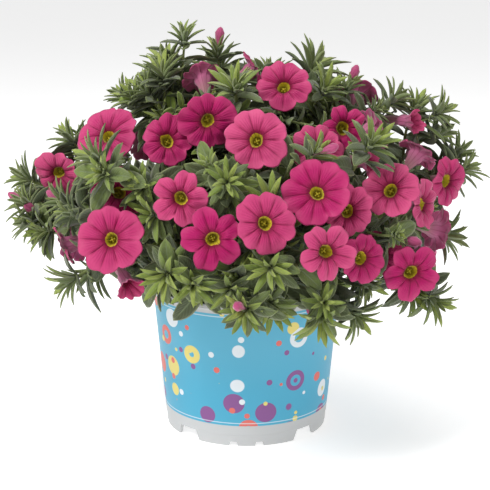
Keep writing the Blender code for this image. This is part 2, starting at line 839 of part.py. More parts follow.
def tube_rings(tube):
    """Distances of the rings of a tube's mesh, and the leaves of each interval that has some."""
    total = tube.steps()[-1]
    nodes = sorted(tube.nodes, key=lambda node: node[0])
    ends = [(d - NODE_HEIGHT / 2, d + NODE_HEIGHT / 2) for d, _ in nodes]
    plain = [d for d in tube.steps() if all(d < low - 1.2 or d > high + 1.2 for low, high in ends)]
    if tube.end:
        plain = [d for d in plain if d < total - 5.0]
    if not ends or ends[-1][1] < total - 0.1:
        plain.append(total)
    rings = sorted({round(d, 4) for d in plain + [d for pair in ends for d in pair]})
    leaves = {round(low, 4): node[1] for (low, _), node in zip(ends, nodes)}
    return rings, leaves


def tube_mesh(tube, sides):
    """A closed tube with a leaf drawn out of its side wherever a node has one."""
    rings, leaves = tube_rings(tube)
    places = [(*tube.at(d), tube.radius(d)) for d in rings]
    if tube.end:
        facing = np.array(tube.end)
        side = unit(places[-1][2] - facing * (places[-1][2] @ facing))
        tip = tube.points[-1]
        flare = ((3.4, tube.radii[1]), (1.4, CALYX_RADIUS * 0.85), (0.0, CALYX_RADIUS))
        places[-1:] = [(tip - facing * d, facing, side, np.cross(facing, side), r) for d, r in flare]
    verts, faces = [], []
    for point, _, side, up, radius in places:
        for k in range(sides):
            angle = 2 * math.pi * k / sides
            verts.append(point + radius * (math.cos(angle) * side + math.sin(angle) * up))
    for i in range(len(places) - 1):
        drawn = leaves.get(rings[i], {}) if i < len(rings) else {}
        for k in range(sides):
            j = (k + 1) % sides
            a, b, c, d = i * sides + k, i * sides + j, (i + 1) * sides + j, (i + 1) * sides + k
            if k in drawn:
                draw_leaf(verts, faces, (a, b, c, d), drawn[k])
            else:
                faces += [(a, b, c), (a, c, d)]
    last = (len(places) - 1) * sides
    faces += [(0, k + 1, k) for k in range(1, sides - 1)]
    faces += [(last, last + k, last + k + 1) for k in range(1, sides - 1)]
    return verts, faces


def draw_leaf(verts, faces, corners, leaf):
    """Draws one side face of a tube out into a leaf, widest near its middle and pointed at its tip."""
    side = np.cross(leaf.face, leaf.along)
    if side @ (verts[corners[1]] - verts[corners[0]]) < 0:
        side = -side
    middle, _, normal = leaf.at(WIDEST)
    half, thick = side * leaf.width / 2, normal * LEAF_THICKNESS / 2
    base = len(verts)
    verts += [middle - half - thick, middle + half - thick, middle + half + thick, middle - half + thick]
    verts.append(leaf.at(1.0)[0])
    for n in range(4):
        m = (n + 1) % 4
        a, b, c, d = corners[n], corners[m], base + m, base + n
        faces += [(a, b, d), (b, c, d)] if n == 2 else [(a, b, c), (a, c, d)]
        faces.append((base + n, base + m, base + 4))


def build_stem(stem):
    """One leafy stem: tubes, tufts and leaves joined in one solid."""
    parts = helpers(stem.name + "_parts")
    body = None
    for k, tube in enumerate(stem.tubes):
        shape = tube_mesh(tube, 3 if tube.kind == "stalk" else SIDES)
        if body is None:
            body = mesh_object(stem.name, *shape, "leaf_green")
        else:
            mesh_object(f"{stem.name}_tube_{k}", *shape, "leaf_green", parts)
    boolean(body, "UNION", parts)
    return body


def limb_form(form):
    """Heights of the middle ring and of the edge at notch and lobe, then radii, as shares of the limb's.

    The radii are those of the notch, the middle ring and the ring under it; the throat's is in millimetres.
    """
    return {
        "round": ((2.4, 2.9, 1.4), (0.84, 0.56, 0.56), THROAT_RADIUS),
        "star": ((3.0, 2.6, 2.6), (0.66, 0.56, 0.56), THROAT_RADIUS),
        "half": ((5.0, 8.6, 8.0), (0.82, 0.45, 0.68), 2.6),
    }[form]


def build_bloom(bloom):
    """Tube and limb in one petal-thick solid, hollow at the throat."""
    (middle_z, notch_z, lobe_z), (notch, middle_r, under_r), throat_r = limb_form(bloom.form)
    radius = bloom.span / 2
    side, up = across(bloom.facing(), bloom.spin)
    facing, mouth = bloom.facing(), np.array(bloom.mouth, float)
    verts = []

    def ring(count, radius_of, height_of, shift=0.0):
        start = len(verts)
        for k in range(count):
            angle = 2 * math.pi * (k + shift) / count
            r, z = radius_of(k), height_of(k)
            verts.append(mouth + r * (math.cos(angle) * side + math.sin(angle) * up) + z * facing)
        return list(range(start, start + count))

    edge_r = (notch, 0.97, 1.0, 0.97)
    edge_z = (notch_z, 0.5 * (notch_z + lobe_z) + 0.5, lobe_z, 0.5 * (notch_z + lobe_z) - 0.7)
    edge = ring(4 * LOBES, lambda k: radius * edge_r[k % 4], lambda k: edge_z[k % 4])
    inner = ring(2 * LOBES, lambda k: radius * middle_r, lambda k: middle_z + (0.3, -0.3)[k % 2])
    under = [
        ring(LOBES, lambda k: size, lambda k: height, 0.5)
        for size, height in (
            (radius * under_r, middle_z - 0.3 - PETAL_THICKNESS),
            (throat_r + THROAT_WALL, -1.6),
            (CALYX_RADIUS - 0.1, -TUBE_LENGTH),
        )
    ]
    throat = ring(LOBES, lambda k: throat_r, lambda k: 0.0)
    verts.append(mouth - facing * WELL_DEPTH)
    well = len(verts) - 1

    faces = []
    for k in range(LOBES):
        # Fanned from each lobe's middle, as the under side is, so that the two sides never cross
        start, middle, end = inner[2 * k], inner[2 * k + 1], inner[(2 * k + 2) % len(inner)]
        rim = [edge[(4 * k + n) % len(edge)] for n in range(5)]
        faces += [(middle, rim[n], rim[n + 1]) for n in range(4)]
        faces += [(middle, start, rim[0]), (middle, rim[4], end)]
    bands(faces, throat, inner)
    faces += [(well, throat[k], throat[(k + 1) % LOBES]) for k in range(LOBES)]
    below = []
    for k in range(LOBES):
        j = (k + 1) % LOBES
        rim = [edge[(4 * k + n) % len(edge)] for n in range(5)]
        below += [(under[0][k], rim[n], rim[n + 1]) for n in range(4)]
        below.append((under[0][k], rim[4], under[0][j]))
    bands(below, under[1], under[0])
    bands(below, under[2], under[1])
    faces += [face[::-1] for face in below]
    foot = under[2]
    faces += [(foot[0], foot[k + 1], foot[k]) for k in range(1, LOBES - 1)]
    return mesh_object(bloom.name, verts, faces, "petal_pink")


def bands(faces, low, high):
    """Triangles between two rings of a disc, where the outer ring has as many points or twice as many."""
    count = len(low)
    for k in range(count):
        a, b = low[k], low[(k + 1) % count]
        if len(high) == count:
            c, d = high[k], high[(k + 1) % count]
            faces += [(a, c, d), (a, d, b)]
        else:
            c, m, d = high[2 * k], high[2 * k + 1], high[(2 * k + 2) % len(high)]
            faces += [(a, c, m), (a, m, b), (m, d, b)]


def main():
    """Clears the scene and builds every piece."""
    for old in list(bpy.data.objects):
        bpy.data.objects.remove(old)
    stems, blooms = grow()
    build_pot()
    build_soil(stems)
    for stem in stems:
        build_stem(stem)
    for bloom in blooms:
        build_bloom(bloom)


main()
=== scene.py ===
"""Finished look of a calibrachoa in full bloom in its printed nursery pot.

The plan of the plant, its stems, leaves and blooms, is grown here by the same rules and from the same
seeds as the solids were, so each finer piece stands where the solid that it replaces stands. Plans hold
millimetres and degrees; MM turns them into metres where a mesh is made. A facing is given by turn
(0 is the front, 90 the right) and tilt (above the horizon).
"""

import json
import logging
import math
import random
from dataclasses import dataclass, field, replace
from enum import Enum
from typing import Any, Optional, Sequence

import bpy
import numpy as np
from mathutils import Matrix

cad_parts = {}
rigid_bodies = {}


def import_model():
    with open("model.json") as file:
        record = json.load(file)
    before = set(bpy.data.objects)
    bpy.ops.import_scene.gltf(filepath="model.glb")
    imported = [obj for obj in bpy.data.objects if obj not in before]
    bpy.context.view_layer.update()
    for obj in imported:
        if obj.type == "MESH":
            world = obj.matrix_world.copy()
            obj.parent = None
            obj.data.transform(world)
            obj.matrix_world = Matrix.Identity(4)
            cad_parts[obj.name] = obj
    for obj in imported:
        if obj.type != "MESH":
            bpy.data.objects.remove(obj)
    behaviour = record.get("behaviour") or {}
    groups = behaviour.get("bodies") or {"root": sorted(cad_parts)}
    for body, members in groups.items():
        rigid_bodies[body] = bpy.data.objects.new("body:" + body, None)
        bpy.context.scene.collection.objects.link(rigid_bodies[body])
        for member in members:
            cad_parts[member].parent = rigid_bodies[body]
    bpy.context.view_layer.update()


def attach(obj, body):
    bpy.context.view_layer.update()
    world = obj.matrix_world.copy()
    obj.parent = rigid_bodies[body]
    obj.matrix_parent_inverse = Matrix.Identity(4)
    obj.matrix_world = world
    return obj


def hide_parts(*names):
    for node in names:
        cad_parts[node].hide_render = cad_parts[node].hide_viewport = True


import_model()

MM = 0.001
LOG = logging.getLogger("calibrachoa")

# Pot
RIM_RADIUS = 55.0
POT_HEIGHT = 84.5
LIP_HEIGHT = 3.0
BAND_TOP = (54.3, 79.3)
BAND_FOOT = (48.2, 12.5)
BAND_SLOPE = (BAND_TOP[0] - BAND_FOOT[0]) / (BAND_TOP[1] - BAND_FOOT[1])
WALL = 1.3
FLOOR_OVER = 9.0

# Air between a bloom and its calyx
GAP = 0.35

# Berths: how far other pieces keep from the rim, the soil, and a bloom's limb and tube
RIM_BERTH = 2.6
RIM_INSIDE = 50.0
SOIL_BERTH = 3.0
LIMB_OVER = 3.6
HALF_OPEN_OVER = 9.5
LIMB_UNDER = 1.8
TUBE_BERTH = 5.2

# Soil
SOIL_EDGE_Z = 73.5
SOIL_MIDDLE_Z = 76.0

# Stems
OUTER_HOLES = 9
OUTER_RING = 33.0
INNER_HOLES = 5
INNER_RING = 14.0
UPPER_TIER_TILT = 50.0
CROWN_Z = 85.0
STEM_FOOT_Z = 66.0
BOWS = (0.42, 0.52, 0.32, 0.64, 0.22)
LEANS = (0.0, 12.0, -12.0, 24.0, -24.0, 36.0, -36.0)
MAIN_RADII = (1.6, 1.0)
SHOOT_RADII = (1.0, 0.75)
SPRIG_RADII = (0.8, 0.6)
STALK_RADIUS = 0.62
CALYX_RADIUS = 2.0
MAIN_STEP = 18.0
SHOOT_STEP = 13.0

# Blooms
TUBE_LENGTH = 15.0
THROAT_RADIUS = 3.7
LOBES = 5

# Each form of limb, as its solid has it: heights of the middle ring and of the edge at notch and lobe,
# the notch's radius as a share of the limb's, and the throat's radius.
LIMB_FORMS = {
    "round": ((2.4, 2.9, 1.4), 0.84, THROAT_RADIUS),
    "star": ((3.0, 2.6, 2.6), 0.66, THROAT_RADIUS),
    "half": ((5.0, 8.6, 8.0), 0.82, 2.6),
}

# Leaves
GOLDEN_ANGLE = 137.5
LEAF_LENGTH = 22.0
LEAF_WIDTH = 7.4
MAIN_LEAF_STEP = 23.0
SHOOT_LEAF_STEP = 15.0
SIDES = 4
NODE_HEIGHT = 1.8
LEAF_TRIES = (
    (62, 0.6, 1.0),
    (48, 0.9, 1.0),
    (75, 0.3, 0.95),
    (52, 0.3, 0.85),
    (68, 0.8, 0.8),
    (58, 0.5, 0.65),
)
LEAF_SHARE = {"main": 1.12, "shoot": 1.04, "sprig": 0.86, "stalk": 0.5}
TUFT_WHORLS = ((50.0, 12.0, 3.3), (24.0, 10.0, 2.6))

# Mouth of the throat, turn, tilt, span of the limb, form and spin of each bloom that faces the viewer.
FRONT_BLOOMS = (
    ((-74, -44, 176), -15, 40, 35, "round", 10),
    ((-41, -66, 177), 8, 20, 27, "round", 40),
    ((-20, -68, 188), 5, -4, 31, "round", 0),
    ((-106, -10, 150), -14, -12, 28, "round", 20),
    ((-66, -72, 151), 12, 18, 29, "round", 54),
    ((-68, -97, 132), -6, 13, 35, "round", 0),
    ((-33, -96, 153), -5, 5, 29.5, "star", 36),
    ((-17, -108, 135), 0, 6, 32, "star", 0),
    ((5, -82, 180), -5, 20, 32.5, "round", 0),
    ((9, -109, 143), 10, 11, 31.5, "round", 30),
    ((20, -34, 201), 0, 36, 30, "round", 15),
    ((50, -62, 183), 10, 12, 24, "star", 0),
    ((36, -72, 173), 8, 26, 28, "round", 20),
    ((35, -98, 156), -8, 24, 35, "round", 10),
    ((74, -76, 153), -14, 24, 30, "round", 45),
    ((51, -88, 145), 6, 15, 27, "round", 0),
    ((39, -110, 129), 20, 2, 30, "star", 20),
    ((58, -92, 121), 24, 4, 26, "round", 40),
    ((85, -82, 111), 10, 2, 31, "star", 10),
    ((69, -67, 117), -12, 10, 26, "round", 0),
    ((112, -14, 146), 42, 4, 28, "round", 0),
    ((93, -54, 141), 58, 10, 28, "round", 30),
    ((103, -40, 124), 118, -16, 25, "round", 0),
    ((67, -42, 179), 112, 22, 25, "round", 0),
    ((88, -14, 180), 48, 2, 14, "half", 0),
    ((62, 2, 191), 168, 44, 26, "round", 0),
    ((-24, -16, 203), -168, 40, 24, "round", 0),
    ((3, -6, 207), 96, 32, 23, "round", 28),
    ((-96, -50, 118), -78, -18, 25, "star", 0),
    ((-62, -91, 110), 32, -32, 16, "half", 8),
    ((94, -22, 162), 124, 40, 24, "round", 0),
    ((60, -59, 165), 62, 0, 17, "half", 0),
)
BACK_BLOOMS = 12
BACK_SPAN = (27.0, 33.0)

# Ends of the leafy shoots that face the viewer, with the size of each tuft.
FRONT_TIPS = (
    ((-44, 6, 208), 1.25),
    ((-68, 6, 190), 1.0),
    ((-55, -12, 196), 1.1),
    ((-100, 2, 167), 1.0),
    ((-126, 3, 144), 1.0),
    ((-122, -16, 123), 1.0),
    ((-94, -56, 136), 1.1),
    ((-93, -62, 102), 1.1),
    ((-76, -78, 169), 1.2),
    ((-18, -92, 168), 1.2),
    ((-6, -46, 201), 1.1),
    ((37, 8, 206), 1.45),
    ((44, -8, 199), 1.1),
    ((72, -16, 186), 1.2),
    ((95, 0, 184), 1.1),
    ((63, -79, 177), 1.1),
    ((23, -90, 171), 0.9),
    ((125, 5, 149), 1.0),
    ((76, -88, 132), 1.1),
    ((26, -110, 119), 1.1),
    ((-40, -104, 116), 1.1),
    ((-8, -110, 116), 0.9),
    ((12, -104, 100), 1.0),
    ((38, -98, 92), 1.2),
    ((104, -32, 82), 1.1),
)
BACK_TIPS = 13
BACK_SHELL = (114.0, 112.0, 96.0)
SHELL_CENTRE_Z = 112.0

Array = np.ndarray
Piece = bpy.types.Object
Material = bpy.types.Material
Dice = random.Random
Colour = tuple[float, float, float]


def heading(turn: float, tilt: float) -> Array:
    """Unit vector of a facing."""
    t, e = math.radians(turn), math.radians(tilt)
    return np.array([math.sin(t) * math.cos(e), -math.cos(t) * math.cos(e), math.sin(e)])


def unit(v: Sequence[float]) -> Array:
    """A vector at length 1."""
    return np.asarray(v, float) / max(float(np.linalg.norm(v)), 1e-9)


def across(direction: Array, spin: float = 0.0) -> tuple[Array, Array]:
    """Finds two unit vectors square to a direction, the first level before the spin.

    Args:
        direction: Unit vector.
        spin: Degrees by which the pair is turned round the direction.

    Returns:
        The side and up vectors, which make a right-handed set with the direction.
    """
    side = np.cross((0.0, 0.0, 1.0), direction)
    if np.linalg.norm(side) < 1e-3:
        side = np.array([1.0, 0.0, 0.0])
    side = unit(side)
    up = np.cross(direction, side)
    c, s = math.cos(math.radians(spin)), math.sin(math.radians(spin))
    return side * c + up * s, up * c - side * s


def spoke(angle: float, side: Array, up: Array) -> Array:
    """Unit vector at an angle from a side vector towards an up vector."""
    return math.cos(angle) * side + math.sin(angle) * up


def spokes(angles: Array, side: Array, up: Array) -> Array:
    """The same at many angles, one row each."""
    return np.cos(angles)[:, None] * side + np.sin(angles)[:, None] * up


def round_angles(count: int) -> Array:
    """Angles in radians that part a full turn evenly."""
    return np.arange(count) * 2 * math.pi / count


def placed(name: str, data: Any) -> Piece:
    """Puts a mesh, camera or lamp into the scene.

    Args:
        name: The new object's name.
        data: What it holds.

    Returns:
        The object.
    """
    made = bpy.data.objects.new(name, data)
    bpy.context.scene.collection.objects.link(made)
    return made


def plain_mesh(made: Piece) -> bpy.types.Mesh:
    """Gives an object's mesh with its modifiers worked in, and clears them.

    Args:
        made: The object.

    Returns:
        The plain mesh.
    """
    bpy.context.view_layer.update()
    graph = bpy.context.evaluated_depsgraph_get()
    mesh = bpy.data.meshes.new_from_object(made.evaluated_get(graph))
    made.modifiers.clear()
    return mesh


def bezier(p0: Array, p1: Array, p2: Array, p3: Array, steps: int) -> Array:
    """Points of a cubic curve, both ends included."""
    t = np.linspace(0.0, 1.0, steps + 1)[:, None]
    return (1 - t) ** 3 * p0 + 3 * t * (1 - t) ** 2 * p1 + 3 * t**2 * (1 - t) * p2 + t**3 * p3


def resampled(points: Array, step: float) -> Array:
    """Lays points about a step apart along a line.

    Args:
        points: The line's own points.
        step: Distance wanted between the new ones.

    Returns:
        The new points, both ends included.
    """
    lengths = np.linalg.norm(np.diff(points, axis=0), axis=1)
    along = np.concatenate([[0.0], np.cumsum(lengths)])
    at = np.linspace(0.0, along[-1], max(2, int(along[-1] / step) + 1))
    return np.stack([np.interp(at, along, points[:, k]) for k in range(3)], axis=1)


@dataclass(frozen=True)
class Bloom:
    """One open flower: a narrow tube that flares into a limb of five lobes."""

    name: str
    mouth: tuple
    turn: float
    tilt: float
    span: float
    form: str
    spin: float

    def facing(self) -> Array:
        """Unit vector along which the bloom looks."""
        return heading(self.turn, self.tilt)

    def foot(self) -> Array:
        """Where the tube starts, on its calyx."""
        return np.array(self.mouth, float) - TUBE_LENGTH * self.facing()

    def outline(self) -> Array:
        """Samples the limb and the tube, for keeping clear of other pieces.

        Returns:
            The sample points.
        """
        side, up = across(self.facing())
        rise = 7.0 if self.form == "half" else 2.0
        rings = [(self.span / 2, rise, 16), (self.span / 3.4, 1.5, 8), (self.span / 7, 0.0, 4)]
        found = [
            np.array(self.mouth) + self.facing() * lift + r * spoke(a, side, up)
            for r, lift, count in rings
            for a in np.linspace(0, 2 * math.pi, count, endpoint=False)
        ]
        found += [np.array(self.mouth) - self.facing() * d for d in (5.0, 10.0, TUBE_LENGTH)]
        return np.array(found)


@dataclass(frozen=True)
class Leaf:
    """A blade that leaves root along a direction, upper side towards face, and bends away from it."""

    root: Array
    along: Array
    face: Array
    length: float
    width: float
    bend: float

    def at(self, t: float) -> tuple[Array, Array, Array]:
        """Finds a place on the midrib.

        Args:
            t: Share of the way from the root to the tip.

        Returns:
            The point, the midrib's direction and its upper normal.
        """
        a, n = self.along, self.face
        turn = self.bend * t
        reach = self.length * t
        if abs(self.bend) > 1e-4:
            ahead = self.length * math.sin(turn) / self.bend
            down = self.length * (1 - math.cos(turn)) / self.bend
        else:
            ahead, down = reach, 0.0
        point = self.root + a * ahead - n * down
        return point, a * math.cos(turn) - n * math.sin(turn), n * math.cos(turn) + a * math.sin(turn)

    def points(self) -> Array:
        """Samples the blade, for keeping clear of other pieces.

        Returns:
            The sample points.
        """
        side = np.cross(self.along, self.face)
        found = [self.at(t)[0] for t in (0.12, 0.3, 0.48, 0.66, 0.84, 1.0)]
        for t, share in ((0.3, 0.46), (0.55, 0.46), (0.78, 0.3)):
            for sign in (-1, 1):
                found.append(self.at(t)[0] + side * (sign * share * self.width))
        return np.array(found)


@dataclass
class Tube:
    """A stem or stalk along points, thinning from one radius to the other, with leaves at its nodes."""

    points: Array
    radii: tuple
    kind: str
    tuft: float = 0.0
    end: tuple = ()
    nodes: list = field(default_factory=list)
    taken: list = field(default_factory=list)

    def steps(self) -> Array:
        """Distance of each point along the line."""
        return np.concatenate([[0.0], np.cumsum(np.linalg.norm(np.diff(self.points, axis=0), axis=1))])

    def frames(self) -> list[tuple[Array, Array]]:
        """Carries a side vector along the line without a twist.

        Returns:
            Direction and side vector of each piece of the line.
        """
        found: list[tuple[Array, Array]] = []
        side = None
        for a, b in zip(self.points[:-1], self.points[1:]):
            ahead = unit(b - a)
            side = across(ahead)[0] if side is None else unit(side - ahead * (side @ ahead))
            found.append((ahead, side))
        return found

    def at(self, distance: float) -> tuple[Array, Array, Array, Array]:
        """Finds a place along the line.

        Args:
            distance: Millimetres from the line's start.

        Returns:
            The point, the direction, and the side and up vectors there.
        """
        steps, frames = self.steps(), self.frames()
        k = int(np.clip(np.searchsorted(steps, distance, side="right") - 1, 0, len(frames) - 1))
        ahead, side = frames[k]
        joint = np.nonzero(np.abs(steps[1:-1] - distance) < 1e-6)[0]
        if len(joint):
            ahead = unit(frames[joint[0]][0] + frames[joint[0] + 1][0])
            side = unit(side - ahead * (side @ ahead))
        point = np.array([np.interp(distance, steps, self.points[:, n]) for n in range(3)])
        return point, ahead, side, np.cross(ahead, side)

    def radius(self, distance: float) -> float:
        """Radius of the tube at that distance."""
        share = distance / self.steps()[-1]
        return self.radii[0] + (self.radii[1] - self.radii[0]) * share


@dataclass
class Stem:
    """One leafy stem: its hole and its tubes, which hold the leaves."""

    name: str
    turn: float
    ring: float
    tubes: list = field(default_factory=list)


class Room:
    """What is already placed, so that the next piece keeps clear of it."""

    def __init__(self) -> None:
        """Starts with nothing placed."""
        self.blooms: list[Bloom] = []
        self.points = np.zeros((0, 3))
        self.radii = np.zeros(0)
        self.owners = np.zeros(0, int)

    def add(self, points: Array, radius: float, owner: int) -> None:
        """Keeps points of a stem or leaf.

        Args:
            points: Sample points of the piece.
            radius: Its half thickness with some air.
            owner: Index of its stem.
        """
        self.points = np.vstack([self.points, points])
        self.radii = np.concatenate([self.radii, np.full(len(points), radius)])
        self.owners = np.concatenate([self.owners, np.full(len(points), owner)])

    def meets_bloom(self, points: Array, reach: float, skip: Optional[str] = None) -> bool:
        """Tests points against every bloom's limb and tube.

        Args:
            points: Sample points of the new piece.
            reach: Distance to keep.
            skip: Name of a bloom that may be met.

        Returns:
            Whether any point is too near.
        """
        for bloom in self.blooms:
            if bloom.name == skip:
                continue
            v = points - np.array(bloom.mouth)
            facing = bloom.facing()
            h = v @ facing
            rho = np.linalg.norm(v - np.outer(h, facing), axis=1)
            top = HALF_OPEN_OVER if bloom.form == "half" else LIMB_OVER
            limb = (h > -LIMB_UNDER - reach) & (h < top + reach) & (rho < bloom.span / 2 + 0.3 + reach)
            tube = (h <= 0.0) & (h > -TUBE_LENGTH - 0.2) & (rho < TUBE_BERTH + 0.2 * h + reach)
            if (limb | tube).any():
                return True
        return False

    def meets_pot(self, points: Array, slack: float = 0.0) -> bool:
        """Tests points against the pot's wall and rim and the soil.

        Args:
            points: Sample points of the new piece.
            slack: How much nearer than usual it may come.

        Returns:
            Whether any point is too near.
        """
        r = np.linalg.norm(points[:, :2], axis=1)
        z = points[:, 2]
        rim = (z < POT_HEIGHT + RIM_BERTH - slack) & (r > RIM_INSIDE) & (r < RIM_RADIUS + RIM_BERTH - slack)
        soil = (z < SOIL_MIDDLE_Z + SOIL_BERTH - slack) & (r <= RIM_INSIDE)
        return bool((rim | soil).any())

    def meets_others(
        self, points: Array, radius: float, owner: Optional[int] = None, root: Optional[Array] = None
    ) -> bool:
        """Tests points against the stems and leaves placed so far.

        Args:
            points: Sample points of the new piece.
            radius: Its half thickness with some air.
            owner: Index of the stem whose pieces may be met.
            root: Where the piece starts, near which it may meet anything.

        Returns:
            Whether any point is too near.
        """
        mask = np.ones(len(self.points), bool) if owner is None else self.owners != owner
        if root is not None:
            mask &= np.linalg.norm(self.points - root, axis=1) > 5.5
        if not mask.any():
            return False
        placed, reach = self.points[mask], self.radii[mask] + radius
        low, high = points.min(0) - 6.0, points.max(0) + 6.0
        near = ((placed > low) & (placed < high)).all(axis=1)
        if not near.any():
            return False
        gaps = np.linalg.norm(points[:, None, :] - placed[near][None, :, :], axis=2)
        return bool((gaps < reach[near][None, :]).any())


def leaf_at(
    tube: Tube,
    distance: float,
    side_index: float,
    spread: float,
    length: float,
    width: float,
    bend: float,
    twist: float = 0.0,
) -> Leaf:
    """Places a leaf on one side of a tube, its upper face towards the tube's end.

    Args:
        tube: The stem or stalk that carries it.
        distance: Where along the tube it leaves.
        side_index: Which of the tube's four sides, in between where it is no whole number.
        spread: Degrees between the tube's direction and the leaf's.
        length: The leaf's length.
        width: The leaf's width.
        bend: Radians by which it curves away from its upper face.
        twist: Degrees by which its face is turned round it.

    Returns:
        The leaf.
    """
    point, ahead, side, up = tube.at(distance)
    angle = (side_index + 0.5) * 2 * math.pi / SIDES
    radial = spoke(angle, side, up)
    tilt = math.radians(spread)
    along = ahead * math.cos(tilt) + radial * math.sin(tilt)
    face = ahead * math.sin(tilt) - radial * math.cos(tilt)
    turn = math.radians(twist)
    face = face * math.cos(turn) + np.cross(along, face) * math.sin(turn)
    root = point + radial * tube.radius(distance) * 0.7
    return Leaf(root, along, face, length, width, bend)


@dataclass
class Plan:
    """The plan of the plant, grown by the rules that its solids follow."""

    seed: int = 11
    room: Room = field(default_factory=Room)
    stems: list[Stem] = field(default_factory=list)

    def shell_point(self, turn: float, tilt: float, scale: float = 1.0) -> Array:
        """Point of the plant's rounded outline in that direction."""
        return heading(turn, tilt) * np.array(BACK_SHELL) * scale + np.array([0.0, 0.0, SHELL_CENTRE_Z])

    def lay_blooms(self, rng: Dice) -> None:
        """Places the blooms that the front shows and, by rule, those of the far side.

        Args:
            rng: Source of the far side's variety.
        """
        room = self.room
        for i, (mouth, turn, tilt, span, form, spin) in enumerate(FRONT_BLOOMS):
            room.blooms.append(Bloom(f"bloom_{i + 1:02d}", mouth, turn, tilt, span, form, spin))
        made = len(FRONT_BLOOMS)
        step = 0
        while len(room.blooms) < made + BACK_BLOOMS and step < 400:
            turn = 180.0 + ((step * GOLDEN_ANGLE) % 190.0 - 95.0)
            tilt = -6.0 + (step * 37.0) % 74.0
            step += 1
            mouth = self.shell_point(turn, tilt, rng.uniform(0.9, 0.97))
            bloom = Bloom(
                f"bloom_{len(room.blooms) + 1:02d}",
                tuple(mouth),
                turn + rng.uniform(-14, 14),
                tilt * 0.75 + rng.uniform(-8, 8),
                rng.uniform(*BACK_SPAN),
                rng.choice(("round", "round", "star")),
                rng.uniform(12, 84),
            )
            if room.meets_bloom(bloom.outline(), 3.4):
                continue
            room.blooms.append(bloom)

    def tips(self, rng: Dice) -> list[tuple[Array, float]]:
        """Lists the ends of the leafy shoots, those of the far side by rule.

        Args:
            rng: Source of the far side's variety.

        Returns:
            Each end with the size of its tuft.
        """
        tips = [(np.array(p, float), size) for p, size in FRONT_TIPS]
        back, step = 0, 0
        while back < BACK_TIPS and step < 400:
            turn = 180.0 + ((step * GOLDEN_ANGLE + 40.0) % 184.0 - 92.0)
            tilt = -10.0 + (step * 29.0) % 84.0
            step += 1
            point = self.shell_point(turn, tilt, rng.uniform(0.98, 1.03))
            crowded = min(np.linalg.norm(point - other) for other, _ in tips) < 34.0
            if crowded or self.room.meets_bloom(point[None, :], 7.0):
                continue
            tips.append((point, rng.uniform(1.0, 1.25)))
            back += 1
        return tips

    def lay_stems(self) -> None:
        """Names the stems in their holes: an outer ring and, for the top, an inner one."""
        for i in range(OUTER_HOLES):
            self.stems.append(Stem(f"stem_{i + 1:02d}", i * 360.0 / OUTER_HOLES, OUTER_RING))
        for i in range(INNER_HOLES):
            name = f"stem_{OUTER_HOLES + i + 1:02d}"
            self.stems.append(Stem(name, 20.0 + i * 360.0 / INNER_HOLES, INNER_RING))

    def stem_for(self, point: Array) -> int:
        """Chooses the stem that reaches a point, by tier and then by the nearest turn.

        Args:
            point: The point to reach.

        Returns:
            The stem's index.
        """
        turn = math.degrees(math.atan2(point[0], -point[1]))
        tilt = math.degrees(math.atan2(point[2] - CROWN_Z, math.hypot(point[0], point[1])))
        return self.nearest_stem(INNER_RING if tilt > UPPER_TIER_TILT else OUTER_RING, turn)

    def nearest_stem(self, ring: float, turn: float) -> int:
        """Finds the stem in a ring of holes whose turn is nearest.

        Args:
            ring: Radius of the ring of holes.
            turn: The turn wanted.

        Returns:
            The stem's index.
        """
        stems = self.stems
        choices = (i for i, s in enumerate(stems) if s.ring == ring)
        return min(choices, key=lambda i: abs((stems[i].turn - turn + 180.0) % 360.0 - 180.0))

    def tip_direction(self, point: Array) -> Array:
        """Says which way a shoot's end points: out and up on top, more level lower down.

        Args:
            point: The shoot's end.

        Returns:
            Its direction.
        """
        out = unit((point[0], point[1], 0.0))
        rise = np.clip((point[2] - 96.0) / 70.0, -0.25, 1.6)
        return unit(out + np.array([0.0, 0.0, rise]))

    def main_path(self, stem: Stem, tip: Array, bow: float, lean: float) -> Array:
        """Leads a stem from its foot in the soil straight up, then over to its tip.

        Args:
            stem: The stem.
            tip: Where it ends.
            bow: How far it rises before it turns, as a share of the way.
            lean: How far its middle is moved sideways.

        Returns:
            The path's points.
        """
        out = heading(stem.turn, 0.0) * stem.ring
        foot = np.array([out[0], out[1], STEM_FOOT_Z])
        rise = np.array([out[0], out[1], SOIL_MIDDLE_Z + 4.0])
        reach = np.linalg.norm(tip - rise)
        p1 = rise + np.array([0.0, 0.0, 1.0]) * reach * bow
        p2 = tip - self.tip_direction(tip) * reach * 0.34 + heading(stem.turn + 90.0, 0.0) * lean
        p1 = p1 + heading(stem.turn + 90.0, 0.0) * lean * 0.7
        return np.vstack([foot[None, :], resampled(bezier(rise, p1, p2, tip, 24), MAIN_STEP)])

    def place_main(self, index: int, tip: Array, size: float) -> None:
        """Lays a stem's main path with the bow that keeps clear.

        Args:
            index: The stem's index.
            tip: Where it ends.
            size: Size of the tuft there.
        """
        room, stem = self.room, self.stems[index]
        tries = [(bow, lean) for lean in LEANS for bow in BOWS]
        best = self.main_path(stem, tip, *tries[0])
        for bow, lean in tries:
            line = self.main_path(stem, tip, bow, lean)
            fine = resampled(line[1:], 2.5)
            if room.meets_bloom(fine, 2.2) or room.meets_pot(fine[4:], 1.0):
                continue
            if room.meets_others(fine, 1.4, index):
                continue
            best = line
            break
        stem.tubes.append(Tube(best, MAIN_RADII, "main", size))
        room.add(resampled(best, 2.5), 1.5, index)

